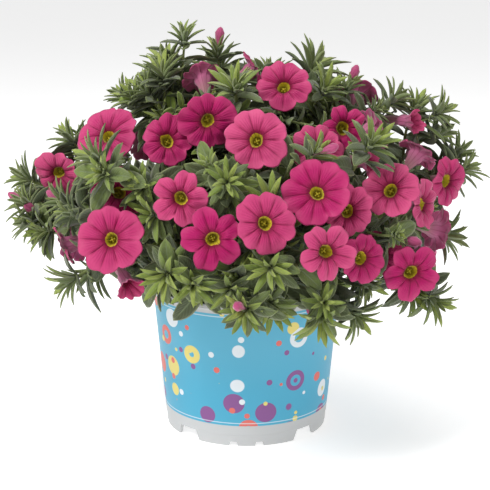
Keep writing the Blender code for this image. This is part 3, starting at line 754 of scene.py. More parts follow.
    def joined(
        self, index: int, target: Array, arrive: Array, skip: Optional[str], radius: float, reach: float
    ) -> Optional[Array]:
        """Finds a side path from one of a stem's tubes to a target.

        Args:
            index: The stem's index.
            target: Where the path ends.
            arrive: Its direction there.
            skip: Name of the bloom that it carries.
            radius: Its radius with some air.
            reach: The length that suits it best.

        Returns:
            The path's points, or None where none is clear.
        """
        room = self.room
        choices = []
        for tube in self.stems[index].tubes:
            if tube.kind == "stalk":
                continue
            fine = resampled(tube.points, 3.0)
            lift = fine[:, 2] > SOIL_MIDDLE_Z + 10.0
            for k in np.nonzero(lift)[0][:-3]:
                gap = np.linalg.norm(target - fine[k])
                if gap > 12.0 and unit(target - fine[k]) @ arrive > 0.35:
                    choices.append((abs(gap - reach), k, fine, tube))
        choices.sort(key=lambda c: c[0])
        for slack in (0.0, 0.5):
            for _, k, fine, parent in choices[:120]:
                start = fine[k]
                gap = np.linalg.norm(target - start)
                ahead = unit(fine[min(k + 1, len(fine) - 1)] - fine[k])
                leave = unit(ahead + 0.9 * unit(target - start))
                line = bezier(start, start + leave * gap * 0.35, target - arrive * gap * 0.35, target, 8)
                line = resampled(line, min(SHOOT_STEP, gap / 3.2))
                test = resampled(line, 2.0)[2:]
                if room.meets_bloom(test, radius + 0.6 - slack, skip) or room.meets_pot(test, slack):
                    continue
                if skip and room.meets_bloom(test[-2:], CALYX_RADIUS + 0.5 - slack, skip):
                    continue
                if room.meets_others(test, radius + 0.3 - slack * 0.4, index):
                    continue
                parent.taken.append(parent.steps()[-1] * k / (len(fine) - 1))
                return line
        return None

    def branch(
        self, first: int, target: Array, arrive: Array, tuft: float, bloom: Optional[str] = None
    ) -> None:
        """Grows a leafy shoot or a bloom's stalk from the first stem, or from the nearest that can.

        Args:
            first: Index of the stem to try first.
            target: Where it ends.
            arrive: Its direction there.
            tuft: Size of a shoot's tuft.
            bloom: Name of the bloom that a stalk carries.
        """
        stems = self.stems
        order = sorted(
            range(len(stems)),
            key=lambda i: (i != first)
            * min(np.linalg.norm(target - tube.points, axis=1).min() for tube in stems[i].tubes),
        )
        radii, reach = ((STALK_RADIUS,) * 2, 26.0) if bloom else (SHOOT_RADII, 55.0)
        for i in order[:7]:
            line = self.joined(i, target, arrive, bloom, radii[0] + 0.25, reach)
            if line is not None:
                end = tuple(arrive) if bloom else ()
                stems[i].tubes.append(Tube(line, radii, "stalk" if bloom else "shoot", tuft, end))
                self.room.add(resampled(line, 2.0), radii[0] + 0.3, i)
                return

    def add_tuft(self, tube: Tube, index: int) -> None:
        """Places the whorls of narrow leaves that end a shoot, as large as there is room for.

        Args:
            tube: The shoot.
            index: Its stem's index.
        """
        room = self.room
        total = tube.steps()[-1]
        for scale in (1.0, 0.85, 0.7, 0.55, 0.4):
            size = scale * tube.tuft
            nodes = []
            for whorl, (spread, length, width) in enumerate(TUFT_WHORLS):
                distance = total - NODE_HEIGHT * (1.5 - whorl)
                leaves = {
                    k: leaf_at(tube, distance, k, spread, length * size, width * size, 0.45)
                    for k in range(SIDES)
                }
                nodes.append((distance, leaves))
            test = np.vstack([leaf.points() for _, leaves in nodes for leaf in leaves.values()])
            if room.meets_bloom(test, 1.2) or room.meets_others(test, 1.6, index) or room.meets_pot(test):
                continue
            tube.tuft = size
            room.add(test, 1.3, index)
            return
        tube.tuft = 0.0

    def add_leaves(self, tube: Tube, index: int, step: float, rng: Dice) -> None:
        """Places pairs of leaves along a tube, each pair at right angles to the last.

        Args:
            tube: The stem or shoot.
            index: Its stem's index.
            step: Mean distance between pairs.
            rng: Source of their variety.
        """
        room = self.room
        total = tube.steps()[-1]
        distance, pair = rng.uniform(3, 9), rng.randrange(2)
        while distance < total - 7.0:
            share = distance / total
            here, pair = distance, pair + 1
            distance += step * rng.uniform(0.8, 1.2)
            if tube.at(here)[0][2] < SOIL_MIDDLE_Z + 9.0 or any(abs(here - t) < 3.5 for t in tube.taken):
                continue
            leaves = {}
            for k in (pair % 2, pair % 2 + 2):
                size = (1.15 - 0.4 * share) * rng.uniform(0.85, 1.15)
                for spread, bend, scale in LEAF_TRIES:
                    length = LEAF_LENGTH * size * scale
                    width = LEAF_WIDTH * size * scale * rng.uniform(0.9, 1.1)
                    leaf = leaf_at(tube, here, k, spread, length, width, bend, rng.uniform(-25, 25))
                    test = leaf.points()
                    if room.meets_bloom(test, 1.6) or room.meets_pot(test):
                        continue
                    if room.meets_others(test[1:], 1.75, None, leaf.root):
                        continue
                    leaves[k] = leaf
                    break
            if leaves:
                tube.nodes.append((here, leaves))
                for leaf in leaves.values():
                    room.add(leaf.points(), 1.75, index)

    def grow(self) -> None:
        """Grows the whole plant: its stems, with tubes and leaves, and its blooms."""
        rng = random.Random(self.seed)
        self.lay_blooms(rng)
        tips = self.tips(rng)
        self.lay_stems()
        stems = self.stems
        groups: dict[int, list] = {i: [] for i in range(len(stems))}
        for point, size in tips:
            groups[self.stem_for(point)].append((point, size))
        for i, stem in enumerate(stems):
            if not groups[i]:
                tilt = 70.0 if stem.ring == INNER_RING else 20.0
                groups[i].append((self.shell_point(stem.turn, tilt, 0.95), 1.0))
            groups[i].sort(key=lambda entry: -np.linalg.norm(entry[0] - np.array([0, 0, CROWN_Z])))
            self.place_main(i, *groups[i][0])
        for i in range(len(stems)):
            for point, size in groups[i][1:]:
                self.branch(i, point, self.tip_direction(point), size)
        for bloom in self.room.blooms:
            target = bloom.foot() - bloom.facing() * GAP
            self.branch(self.stem_for(bloom.foot()), target, bloom.facing(), 0.0, bloom.name)
        for i, stem in enumerate(stems):
            for tube in stem.tubes:
                if tube.tuft:
                    self.add_tuft(tube, i)
        for i, stem in enumerate(stems):
            for tube in stem.tubes:
                if tube.kind != "stalk":
                    step = MAIN_LEAF_STEP if tube.kind == "main" else SHOOT_LEAF_STEP
                    self.add_leaves(tube, i, step, rng)


@dataclass
class Foliage:
    """The finer growth that the solids leave out: sprigs, sprigs over the rim, and more leaves."""

    plan: Plan
    seed: int = 23
    sprig_step: float = 19.0
    sprig_length: tuple[float, float] = (15.0, 28.0)
    skirt_count: int = 14
    skirt_ends: tuple = ((65.0, 94.0), (62.0, 98.0), (60.0, 102.0), (57.0, 106.0))
    skirt_bow: tuple[float, float] = (52.0, 12.0)
    skirt_tuft: tuple[float, float] = (0.6, 0.95)
    sprig_tuft: tuple[float, float] = (0.75, 1.15)
    hanging_length: tuple[float, float] = (20.0, 26.0)
    hanging_width: tuple[float, float] = (8.0, 9.8)
    hanging_pairs: tuple = ((3.0, 0), (8.0, 1))
    leaf_step: float = 6.5
    air: float = -0.35

    def grow(self) -> None:
        """Adds the sprigs and then the leaves, each where there is room."""
        rng = random.Random(self.seed)
        self.add_skirt(rng)
        for index, stem in enumerate(self.plan.stems):
            for tube in [t for t in stem.tubes if t.kind in ("main", "shoot")]:
                self.add_sprigs(tube, index, rng)
        for index, stem in enumerate(self.plan.stems):
            for tube in stem.tubes:
                self.add_fill(tube, index, rng)

    def add_skirt(self, rng: Dice) -> None:
        """Leads short sprigs from the crown out over the rim, all the way round.

        Args:
            rng: Source of their variety.
        """
        room, stems, hanging = self.plan.room, self.plan.stems, random.Random(self.seed + 1)
        for k in range(self.skirt_count):
            turn = 360.0 * k / self.skirt_count + rng.uniform(-5, 5)
            index = self.plan.nearest_stem(OUTER_RING, turn)
            path = resampled(stems[index].tubes[0].points, 2.0)
            start = path[int(np.argmin(np.abs(path[:, 2] - rng.uniform(86.0, 94.0))))]
            for reach, drop in self.skirt_ends:
                end = heading(turn, 0.0) * (reach + rng.uniform(-2, 3)) + np.array([0, 0, drop])
                bow, rise = self.skirt_bow
                over = heading(turn, 0.0) * bow + np.array([0, 0, drop + rise])
                rise = start + np.array([0, 0, 7.0])
                line = resampled(bezier(start, rise, over, end, 16), 5.0)
                test = resampled(line, 2.0)[2:]
                if room.meets_bloom(test, 1.6) or room.meets_pot(test, 1.0):
                    continue
                if room.meets_others(test, 0.3, index):
                    continue
                tube = Tube(line, SPRIG_RADII, "sprig", rng.uniform(*self.skirt_tuft))
                stems[index].tubes.append(tube)
                room.add(test, 0.9, index)
                self.hang_leaves(tube, hanging)
                break

    def hang_leaves(self, tube: Tube, rng: Dice) -> None:
        """Lets pairs of broad leaves hang over the rim from a sprig.

        Args:
            tube: The sprig.
            rng: Source of their variety.
        """
        room = self.plan.room
        for back, first in self.hanging_pairs:
            distance, pair = tube.steps()[-1] - back, {}
            for k in (first, first + 2):
                size = (rng.uniform(*self.hanging_length), rng.uniform(*self.hanging_width))
                leaf = leaf_at(tube, distance, k, rng.uniform(32.0, 52.0), *size, 0.6)
                test = leaf.points()
                if not (room.meets_pot(test, 1.4) or room.meets_bloom(test, 0.8)):
                    pair[k] = leaf
            if pair:
                tube.nodes.append((distance, pair))

    def add_sprigs(self, parent: Tube, index: int, rng: Dice) -> None:
        """Grows short side sprigs from a stem or shoot.

        Args:
            parent: The tube that they leave.
            index: Its stem's index.
            rng: Source of their variety.
        """
        room = self.plan.room
        total = parent.steps()[-1]
        distance = rng.uniform(8.0, 14.0)
        while distance < total - 9.0:
            here = distance
            distance += self.sprig_step * rng.uniform(0.8, 1.25)
            point, ahead, side, up = parent.at(here)
            if point[2] < SOIL_MIDDLE_Z + 7.0:
                continue
            for _ in range(7):
                angle = rng.uniform(0, 2 * math.pi)
                radial = spoke(angle, side, up)
                out = unit(point - np.array([0.0, 0.0, CROWN_Z + 10.0]))
                arrive = unit(ahead * 0.6 + radial * 1.0 + out * 0.9)
                length = rng.uniform(*self.sprig_length)
                end = point + arrive * length
                line = bezier(point, point + unit(ahead + radial) * length * 0.4, end - out * 2, end, 6)
                test = resampled(line, 2.0)[2:]
                ring = end + arrive * 5.0
                if room.meets_bloom(test, 1.4) or room.meets_pot(test, 0.5):
                    continue
                if room.meets_bloom(ring[None, :], 4.0) or room.meets_others(test, 0.4, index):
                    continue
                tube = Tube(resampled(line, 4.0), SPRIG_RADII, "sprig", rng.uniform(*self.sprig_tuft))
                self.plan.stems[index].tubes.append(tube)
                room.add(test, 0.9, index)
                break

    def add_fill(self, tube: Tube, index: int, rng: Dice) -> None:
        """Adds leaves along a tube wherever they find room.

        Args:
            tube: Any of the stem's tubes.
            index: The stem's index.
            rng: Source of their variety.
        """
        room = self.plan.room
        total = tube.steps()[-1]
        small = LEAF_SHARE[tube.kind]
        distance, turn = rng.uniform(2.0, 6.0), rng.uniform(0, 4)
        step = self.leaf_step * (1.0 if tube.kind != "sprig" else 0.8)
        while distance < total - (8.0 if tube.kind == "stalk" else 3.0):
            here, turn = distance, turn + rng.uniform(0.85, 1.15)
            distance += step * rng.uniform(0.75, 1.25)
            if tube.at(here)[0][2] < SOIL_MIDDLE_Z + 6.0:
                continue
            leaves = {}
            for k in (turn, turn + 2.0):
                size = small * (1.2 - 0.35 * here / total) * rng.uniform(0.75, 1.15)
                for spread, bend, scale in LEAF_TRIES:
                    length, width = LEAF_LENGTH * size * scale, LEAF_WIDTH * size * scale
                    twist = rng.uniform(-30, 30)
                    leaf = leaf_at(tube, here, k, spread, length, width * 1.12, bend, twist)
                    test = leaf.points()
                    if room.meets_bloom(test, 0.8) or room.meets_pot(test, 1.2):
                        continue
                    if room.meets_others(test[1:], self.air, None, leaf.root):
                        continue
                    leaves[k] = leaf
                    room.add(test, 0.9, index)
                    break
            if leaves:
                tube.nodes.append((here, leaves))


class Slot(Enum):
    """Places of the finishes in a stem's mesh."""

    UPPER = 0
    UNDER = 1
    BARK = 2
    BUD = 3


@dataclass
class Sketch:
    """Points, faces, pattern coordinates and tones that become one mesh, in millimetres."""

    points: list[Array] = field(default_factory=list)
    uvs: list[Array] = field(default_factory=list)
    tones: list[Array] = field(default_factory=list)
    faces: list[Array] = field(default_factory=list)
    slots: list[Array] = field(default_factory=list)
    count: int = 0

    def add(self, points: Array, uvs: Optional[Array] = None, tone: float = 0.5) -> int:
        """Adds points.

        Args:
            points: The points.
            uvs: Pattern coordinates of each, where they have any.
            tone: Shade that they share, from 0 to 1.

        Returns:
            Index of the first of them.
        """
        first = self.count
        self.points.append(np.asarray(points, float))
        self.uvs.append(np.zeros((len(points), 2)) if uvs is None else np.asarray(uvs, float))
        self.tones.append(np.full(len(points), tone))
        self.count += len(points)
        return first

    def span(self, faces: Array, slot: int) -> None:
        """Adds faces, all with three corners or all with four, that share a finish."""
        self.faces.append(np.asarray(faces, np.int64))
        self.slots.append(np.full(len(faces), slot))

    def dot(self, point: Sequence[float], tone: float = 0.5, u: float = 0.0, v: float = 0.0) -> int:
        """Adds one point."""
        return self.add(np.array([point]), np.array([[u, v]]), tone)

    def skin(self, rings: Sequence[Array], slot: int) -> None:
        """Joins each ring of points to the next by four-cornered faces."""
        for low, high in zip(rings, rings[1:]):
            self.span(np.stack([low, np.roll(low, -1), np.roll(high, -1), high], 1), slot)

    def fan(self, middle: int, ring: Array, slot: int, foot: bool = False) -> None:
        """Closes a ring by triangles round a middle point, at a foot the other way round."""
        pair = (np.roll(ring, -1), ring) if foot else (ring, np.roll(ring, -1))
        self.span(np.stack([np.full(len(ring), middle), *pair], 1), slot)

    def make(self, name: str, finishes: Sequence[Material]) -> Piece:
        """Makes the object.

        Args:
            name: The object's name.
            finishes: Materials in the order of the faces' slots.

        Returns:
            The object, in the scene.
        """
        points = np.vstack(self.points) * MM
        sizes = np.concatenate([np.full(len(f), f.shape[1]) for f in self.faces])
        corners = np.concatenate([f.reshape(-1) for f in self.faces])
        mesh = bpy.data.meshes.new(name)
        mesh.vertices.add(len(points))
        mesh.vertices.foreach_set("co", points.astype(np.float32).reshape(-1))
        mesh.loops.add(len(corners))
        mesh.loops.foreach_set("vertex_index", corners.astype(np.int32))
        mesh.polygons.add(len(sizes))
        starts = np.concatenate([[0], np.cumsum(sizes)[:-1]])
        mesh.polygons.foreach_set("loop_start", starts.astype(np.int32))
        mesh.polygons.foreach_set("material_index", np.concatenate(self.slots).astype(np.int32))
        mesh.polygons.foreach_set("use_smooth", np.ones(len(sizes), bool))
        mesh.update(calc_edges=True)
        layer = mesh.uv_layers.new(name="pattern")
        layer.data.foreach_set("uv", np.vstack(self.uvs)[corners].astype(np.float32).reshape(-1))
        tone = mesh.attributes.new("tone", "FLOAT", "POINT")
        tone.data.foreach_set("value", np.concatenate(self.tones).astype(np.float32))
        mesh.validate()
        for finish in finishes:
            mesh.materials.append(finish)
        return placed(name, mesh)


@dataclass(frozen=True)
class BladeForm:
    """How finely a blade is made and how it is shaped."""

    rows: int = 7
    columns: int = 5
    base_power: float = 0.62
    tip_power: float = 0.72
    fold: float = 0.22
    groove: float = 0.16
    thickness: float = 0.4
    wave: float = 0.35

    def faces(self) -> tuple[Array, Array, Array]:
        """Lists the faces of a closed blade.

        Returns:
            Four-cornered faces of the upper side, those of the under side, and the ends' triangles.
        """
        rows, columns = self.rows, self.columns
        inner = columns - 2
        base = (rows + 1) * columns

        def top(i: int, j: int) -> int:
            """Index of an upper point."""
            return i * columns + j

        def low(i: int, j: int) -> int:
            """Index of an under point, which is the upper one on the margin."""
            return top(i, j) if j in (0, columns - 1) else base + i * inner + j - 1

        upper, under, ends = [], [], []
        for i in range(rows):
            for j in range(columns - 1):
                upper.append((top(i, j), top(i, j + 1), top(i + 1, j + 1), top(i + 1, j)))
                under.append((low(i, j), low(i + 1, j), low(i + 1, j + 1), low(i, j + 1)))
        for i, turned in ((0, False), (rows, True)):
            for j in range(columns - 1):
                ring = [top(i, j), low(i, j), low(i, j + 1), top(i, j + 1)]
                ring = [v for n, v in enumerate(ring) if v not in ring[:n]]
                if turned:
                    ring = ring[::-1]
                ends.append(ring[:3])
                if len(ring) == 4:
                    ends.append([ring[0], ring[2], ring[3]])
        return np.array(upper), np.array(under), np.array(ends)


NARROW_BLADE = BladeForm(
    rows=6, columns=3, base_power=0.5, tip_power=0.62, fold=0.4, groove=0.1, wave=0.12
)


class BladeMaker:
    """Draws closed blades into a sketch."""

    def __init__(self, form: BladeForm) -> None:
        """Keeps the form and works out what every blade of it shares.

        Args:
            form: The blades' form.
        """
        self.form = form
        self.upper, self.under, self.ends = form.faces()
        self.t = np.linspace(0.0, 1.0, form.rows + 1)
        self.x = np.linspace(-1.0, 1.0, form.columns)
        peak = form.base_power / (form.base_power + form.tip_power)
        share = self.t**form.base_power * (1.0 - self.t) ** form.tip_power
        top = peak**form.base_power * (1.0 - peak) ** form.tip_power
        self.width = np.clip(share / top, 0.0, 1.0)
        self.width[0], self.width[-1] = 0.2, 0.03

    def draw(self, sketch: Sketch, leaf: Leaf, tone: float, phase: float) -> None:
        """Draws one blade.

        Args:
            sketch: What it goes into.
            leaf: Its place and size.
            tone: Its shade, from 0 to 1.
            phase: Where its margin's wave starts.
        """
        form, t = self.form, self.t
        along, face = leaf.along, leaf.face
        turn = leaf.bend * t
        bend = leaf.bend if abs(leaf.bend) > 1e-4 else 1e-4
        ahead = leaf.length * np.sin(bend * t) / bend
        down = leaf.length * (1 - np.cos(bend * t)) / bend
        spine = leaf.root + np.outer(ahead, along) - np.outer(down, face)
        normal = np.outer(np.cos(turn), face) + np.outer(np.sin(turn), along)
        side = np.cross(along, face)
        half = leaf.width / 2 * self.width
        lift = form.fold * np.abs(self.x) - form.groove * np.exp(-((self.x / 0.3) ** 2))
        ripple = form.wave * np.sin(9.0 * t[:, None] + phase + 2.0 * self.x) * np.abs(self.x)
        rise = half[:, None] * lift + ripple * self.width[:, None] * 0.6
        top = spine[:, None, :] + (half[:, None] * self.x)[:, :, None] * side
        top = top + rise[:, :, None] * normal[:, None, :]
        inner = top[:, 1:-1] - normal[:, None, :] * form.thickness
        u = np.broadcast_to(self.x * 0.5 + 0.5, rise.shape)
        v = np.broadcast_to(t[:, None], rise.shape)
        uv = np.stack([u, v], axis=-1)
        points = np.vstack([top.reshape(-1, 3), inner.reshape(-1, 3)])
        first = sketch.add(points, np.vstack([uv.reshape(-1, 2), uv[:, 1:-1].reshape(-1, 2)]), tone)
        for faces, slot in ((self.upper, Slot.UPPER), (self.under, Slot.UNDER), (self.ends, Slot.UPPER)):
            sketch.span(faces + first, slot.value)


class Wire:
    """A shader socket that takes part in Python sums, each adding its Math node."""

    def __init__(self, shop: "Shader", socket: Any) -> None:
        """Keeps the socket and the shader that it belongs to."""
        self.shop = shop
        self.socket = socket

    def maths(self, operation: str, *others: Any, first: Any = None, clamp: bool = False) -> "Wire":
        """Adds a Math node.

        Args:
            operation: Its operation.
            others: What follows this wire in its inputs.
            first: What takes this wire's place before the others, for reflected forms.
            clamp: Whether its result is kept between 0 and 1.

        Returns:
            Its result.
        """
        values = [self, *others] if first is None else [first, self]
        settings = {"operation": operation, "use_clamp": clamp}
        return self.shop.node("ShaderNodeMath", settings, dict(enumerate(values)))

    def __add__(self, other: Any) -> "Wire":
        """This plus another."""
        return self.maths("ADD", other)

    def __radd__(self, other: Any) -> "Wire":
        """Another plus this."""
        return self.maths("ADD", first=other)

    def __sub__(self, other: Any) -> "Wire":
        """This less another."""
        return self.maths("SUBTRACT", other)

    def __rsub__(self, other: Any) -> "Wire":
        """Another less this."""
        return self.maths("SUBTRACT", first=other)

    def __mul__(self, other: Any) -> "Wire":
        """This times another."""
        return self.maths("MULTIPLY", other)

    def __rmul__(self, other: Any) -> "Wire":
        """Another times this."""
        return self.maths("MULTIPLY", first=other)

    def between(self, low: float, high: float) -> "Wire":
        """Rises smoothly from 0 at low to 1 at high.

        Args:
            low: Where it starts; above high, it falls instead.
            high: Where it ends.

        Returns:
            The share, from 0 to 1.
        """
        if low > high:
            return 1.0 - self.between(high, low)
        settings = {"interpolation_type": "SMOOTHSTEP"}
        inputs = {"Value": self, "From Min": low, "From Max": high}
        return self.shop.node("ShaderNodeMapRange", settings, inputs, "Result")

    def twin(self, output: str) -> "Wire":
        """Another output of this wire's node."""
        return Wire(self.shop, self.socket.node.outputs[output])

    def line(self, middle: float, reach: float) -> "Wire":
        """Is 1 on a value and falls to 0 at a distance from it."""
        return (self - middle).maths("ABSOLUTE").between(reach, 0.0)


class Shader:
    """One material's node tree, with its Principled shader."""

    def __init__(self, name: str, **constants: Any) -> None:
        """Starts a material.

        Args:
            name: The material's name.
            constants: Values of the shader's own sockets, with _ for each space.
        """
        self.material = bpy.data.materials.new(name)
        self.material.use_nodes = True
        self.tree = self.material.node_tree
        self.principled = self.tree.nodes["Principled BSDF"]
        for socket, value in constants.items():
            self.principled.inputs[socket.replace("_", " ")].default_value = value

    def node(self, kind: str, settings: dict[str, Any], inputs: dict[Any, Any], output: Any = 0) -> Wire:
        """Adds any node.

        Args:
            kind: The node's type.
            settings: Its settings; "stops" gives a ramp's places and colours.
            inputs: Values or wires of its sockets, by name or place.
            output: Name or place of the socket that is wanted.

        Returns:
            That socket.
        """
        node = self.tree.nodes.new(kind)
        for key, value in settings.items():
            if key == "stops":
                ramp = node.color_ramp
                while len(ramp.elements) < len(value):
                    ramp.elements.new(0.5)
                for element, (place, colour) in zip(ramp.elements, value):
                    element.position, element.color = place, (*colour, 1.0)
            else:
                setattr(node, key, value)
        for key, value in inputs.items():
            if isinstance(value, Wire):
                self.tree.links.new(value.socket, node.inputs[key])
            else:
                node.inputs[key].default_value = value
        return Wire(self, node.outputs[output])

    def place(self) -> Wire:
        """Object coordinates."""
        return self.node("ShaderNodeTexCoord", {}, {}, "Object")

    def pattern(self) -> tuple[Wire, Wire]:
        """The two coordinates of the piece's own pattern map.

        Returns:
            The across and the along coordinate.
        """
        uv = self.node("ShaderNodeUVMap", {"uv_map": "pattern"}, {})
        split = self.node("ShaderNodeSeparateXYZ", {}, {0: uv})
        return split, split.twin("Y")

    def tone(self) -> Wire:
        """The shade that each blade or bloom carries."""
        settings = {"attribute_name": "tone", "attribute_type": "GEOMETRY"}
        return self.node("ShaderNodeAttribute", settings, {}, "Fac")

    def noise(self, scale: float, detail: float = 3.0, at: Optional[Wire] = None) -> Wire:
        """Cloudy noise from 0 to 1, about 0.5, by default on Object coordinates."""
        inputs = {"Vector": at or self.place(), "Scale": scale, "Detail": detail}
        return self.node("ShaderNodeTexNoise", {}, inputs, "Fac")

    def ramp(self, factor: Any, *stops: tuple[float, Colour]) -> Wire:
        """Colour from a ramp of (place, colour) stops."""
        return self.node("ShaderNodeValToRGB", {"stops": stops}, {"Fac": factor}, "Color")

    def mix(self, factor: Any, first: Any, second: Any) -> Wire:
        """Mixes two colours or wires, by the share of the second."""
        pair = [c if isinstance(c, Wire) else (*c, 1.0) for c in (first, second)]
        return self.node("ShaderNodeMix", {"data_type": "RGBA"}, {0: factor, 6: pair[0], 7: pair[1]}, 2)

    def bump(self, height: Wire, distance: float, strength: float = 1.0) -> None:
        """Lets a height stand out, by a distance in metres."""
        inputs = {"Strength": strength, "Distance": distance, "Height": height}
        self.finish("Normal", self.node("ShaderNodeBump", {}, inputs))

    def finish(self, socket: str, wire: Wire) -> None:
        """Leads a wire to one of the shader's sockets."""
        self.tree.links.new(wire.socket, self.principled.inputs[socket])


@dataclass(frozen=True)
class LeafGreen:
    """Downy leaf: pale midrib and margin, netted veins, darker with age and lower down, partly as painted
    shade deep in the foliage.
    """

    old_and_shaded: Colour = (0.050, 0.062, 0.027)
    grown: Colour = (0.106, 0.136, 0.052)
    young: Colour = (0.225, 0.315, 0.040)
    tip: Colour = (0.390, 0.470, 0.085)
    margin: Colour = (0.340, 0.390, 0.170)
    rib: Colour = (0.185, 0.235, 0.115)
    under_grey: Colour = (0.150, 0.185, 0.115)

    def make(self, under: bool = False) -> Material:
        """Makes the material of the upper or the under side.

        Args:
            under: Whether it is the under side.

        Returns:
            The material.
        """
        name = "leaf_under" if under else "leaf_upper"
        shader = Shader(name, Sheen_Weight=0.25, Sheen_Roughness=0.5, Specular_IOR_Level=0.35)
        u, v = shader.pattern()
        off = (u - 0.5).maths("ABSOLUTE") * 2.0
        mottle = shader.noise(260.0, 4.0)
        age_and_shade = shader.tone() + (mottle - 0.5) * 0.35
        body = shader.ramp(age_and_shade, (0.0, self.old_and_shaded), (0.38, self.grown), (0.72, self.young), (1.0, self.tip))
        if under:
            body = shader.mix(0.55, body, self.under_grey)
        rib = off.between(0.14, 0.02) * v.between(1.0, 0.75)
        slant = (v * 9.0 - off * 2.6 + (mottle - 0.5) * 0.5).maths("FRACT")
        veins = slant.line(0.5, 0.16) * off.between(0.02, 0.12) * off.between(0.98, 0.7)
        colour = shader.mix(rib * 0.7, body, self.rib)
        colour = shader.mix(veins * 0.32, colour, self.rib)
        colour = shader.mix(off.between(0.78, 0.97) * 0.7, colour, self.margin)
        colour = shader.mix(v.between(0.9, 1.0) * 0.25, colour, self.tip)
        shader.finish("Base Color", colour)
        shader.finish("Roughness", 0.5 + mottle * 0.25 - rib * 0.08)
        height = shader.noise(900.0, 2.0) * 0.35 - veins * 0.5 - rib * 0.8
        shader.bump(height, 0.00035, 0.6)
        return shader.material


@dataclass(frozen=True)
class StemGreen:
    """Stems and calyxes: yellow-green, ribbed, browner low down."""

    green: Colour = (0.230, 0.300, 0.080)
    brown: Colour = (0.130, 0.110, 0.050)
    pale: Colour = (0.420, 0.480, 0.220)

    def make(self) -> Material:
        """Makes the material.

        Returns:
            The material.
        """
        shader = Shader("stem_green", Specular_IOR_Level=0.3, Sheen_Weight=0.2)
        u, _ = shader.pattern()
        ribs = (u * 6.0).maths("FRACT").line(0.5, 0.5)
        mottle = shader.noise(350.0, 4.0)
        colour = shader.mix(shader.tone() * 0.6 + mottle * 0.3, self.brown, self.green)
        colour = shader.mix(ribs * mottle * 0.5, colour, self.pale)
        shader.finish("Base Color", colour)
        shader.finish("Roughness", 0.55 + mottle * 0.2)
        shader.bump(ribs * 0.6 + mottle * 0.4, 0.0003, 0.6)
        return shader.material


@dataclass(frozen=True)
class HairDown:
    """The fine clear hairs of stems and calyxes."""

    colour: Colour = (0.72, 0.76, 0.55)
    root: Colour = (0.40, 0.46, 0.24)

    def make(self) -> Material:
        """Makes the material.

        Returns:
            The material.
        """
        shader = Shader("down", Roughness=0.4, Specular_IOR_Level=0.5)
        cloud = shader.noise(600.0, 2.0)
        shader.finish("Base Color", shader.mix(cloud, self.root, self.colour))
        return shader.material


@dataclass(frozen=True)
class PetalFace:
    """Upper side of the limb: vivid pink, a crimson star, dark veins, and the throat's yellow rim."""

    light: Colour = (0.640, 0.085, 0.220)
    mid: Colour = (0.420, 0.003, 0.112)
    dark: Colour = (0.330, 0.004, 0.070)
    deep: Colour = (0.170, 0.002, 0.030)
    rim: Colour = (0.740, 0.580, 0.030)
    # Olive and well darken the throat's yellow deeper in: partly its own colour, partly painted shade.
    olive: Colour = (0.520, 0.440, 0.025)
    well: Colour = (0.340, 0.270, 0.018)

    def make(self) -> Material:
        """Makes the material.

        Returns:
            The material.
        """
        shader = Shader("petal_face", Specular_IOR_Level=0.25, Sheen_Weight=0.12, Sheen_Roughness=0.4)
        lobe, out = shader.pattern()
        cloud = shader.noise(140.0, 3.0)
        grain = shader.noise(900.0, 3.0)
        edge = out.between(0.45, 1.0) * (0.55 + cloud * 0.6)
        shade = shader.tone() * 0.75 - 0.08 + edge * 0.38 + (cloud - 0.5) * 0.5
        colour = shader.mix(shade.maths("ADD", 0.0, clamp=True), self.mid, self.light)
        spokes = (lobe * 5.0 + (cloud - 0.5) * 0.8).maths("FRACT").line(0.5, 0.32)
        fine = spokes * out.between(0.0, 0.12) * out.between(1.0, 0.35)
        centre = lobe.between(0.075, 0.0) * out.between(1.05, 0.55)
        sinus = lobe.between(0.93, 1.0) * out.between(1.1, 0.5)
        veins = centre.maths("MAXIMUM", sinus * 0.8)
        colour = shader.mix(fine * 0.32, colour, self.dark)
        rays = centre.maths("MAXIMUM", sinus) * 0.16
        star = (out - rays + (cloud - 0.5) * 0.16).between(0.44, 0.02)
        colour = shader.mix(star * 0.85, colour, self.dark)
        colour = shader.mix(veins * 0.6, colour, self.deep)
        ring = (out - rays * 0.4 + (cloud - 0.5) * 0.1).between(0.17, 0.03)
        colour = shader.mix(ring * 0.75, colour, self.deep)
        wander = (cloud - 0.5) * 0.55 + (grain - 0.5) * 0.06 + rays * 0.5 + 0.06
        yellow = (out + wander).between(0.035, -0.02)
        patch = shader.noise(260.0, 2.0).between(0.4, 0.58)
        colour = shader.mix(yellow, colour, shader.mix(patch, self.olive, self.rim))
        # Deeper into the throat the colour darkens to olive and then to the well colour: partly the throat's
        # own colour, partly painted shade in the narrow well.
        colour = shader.mix((out + wander).between(-0.03, -0.2), colour, self.olive)
        colour = shader.mix(out.between(-0.3, -0.7), colour, self.well)
        shader.finish("Base Color", colour)
        shader.finish("Roughness", 0.46 + cloud * 0.18)
        height = grain * 0.3 + cloud * 0.5 - veins * 1.2 - fine * 0.5
        shader.bump(height, 0.0006, 0.7)
        return shader.material


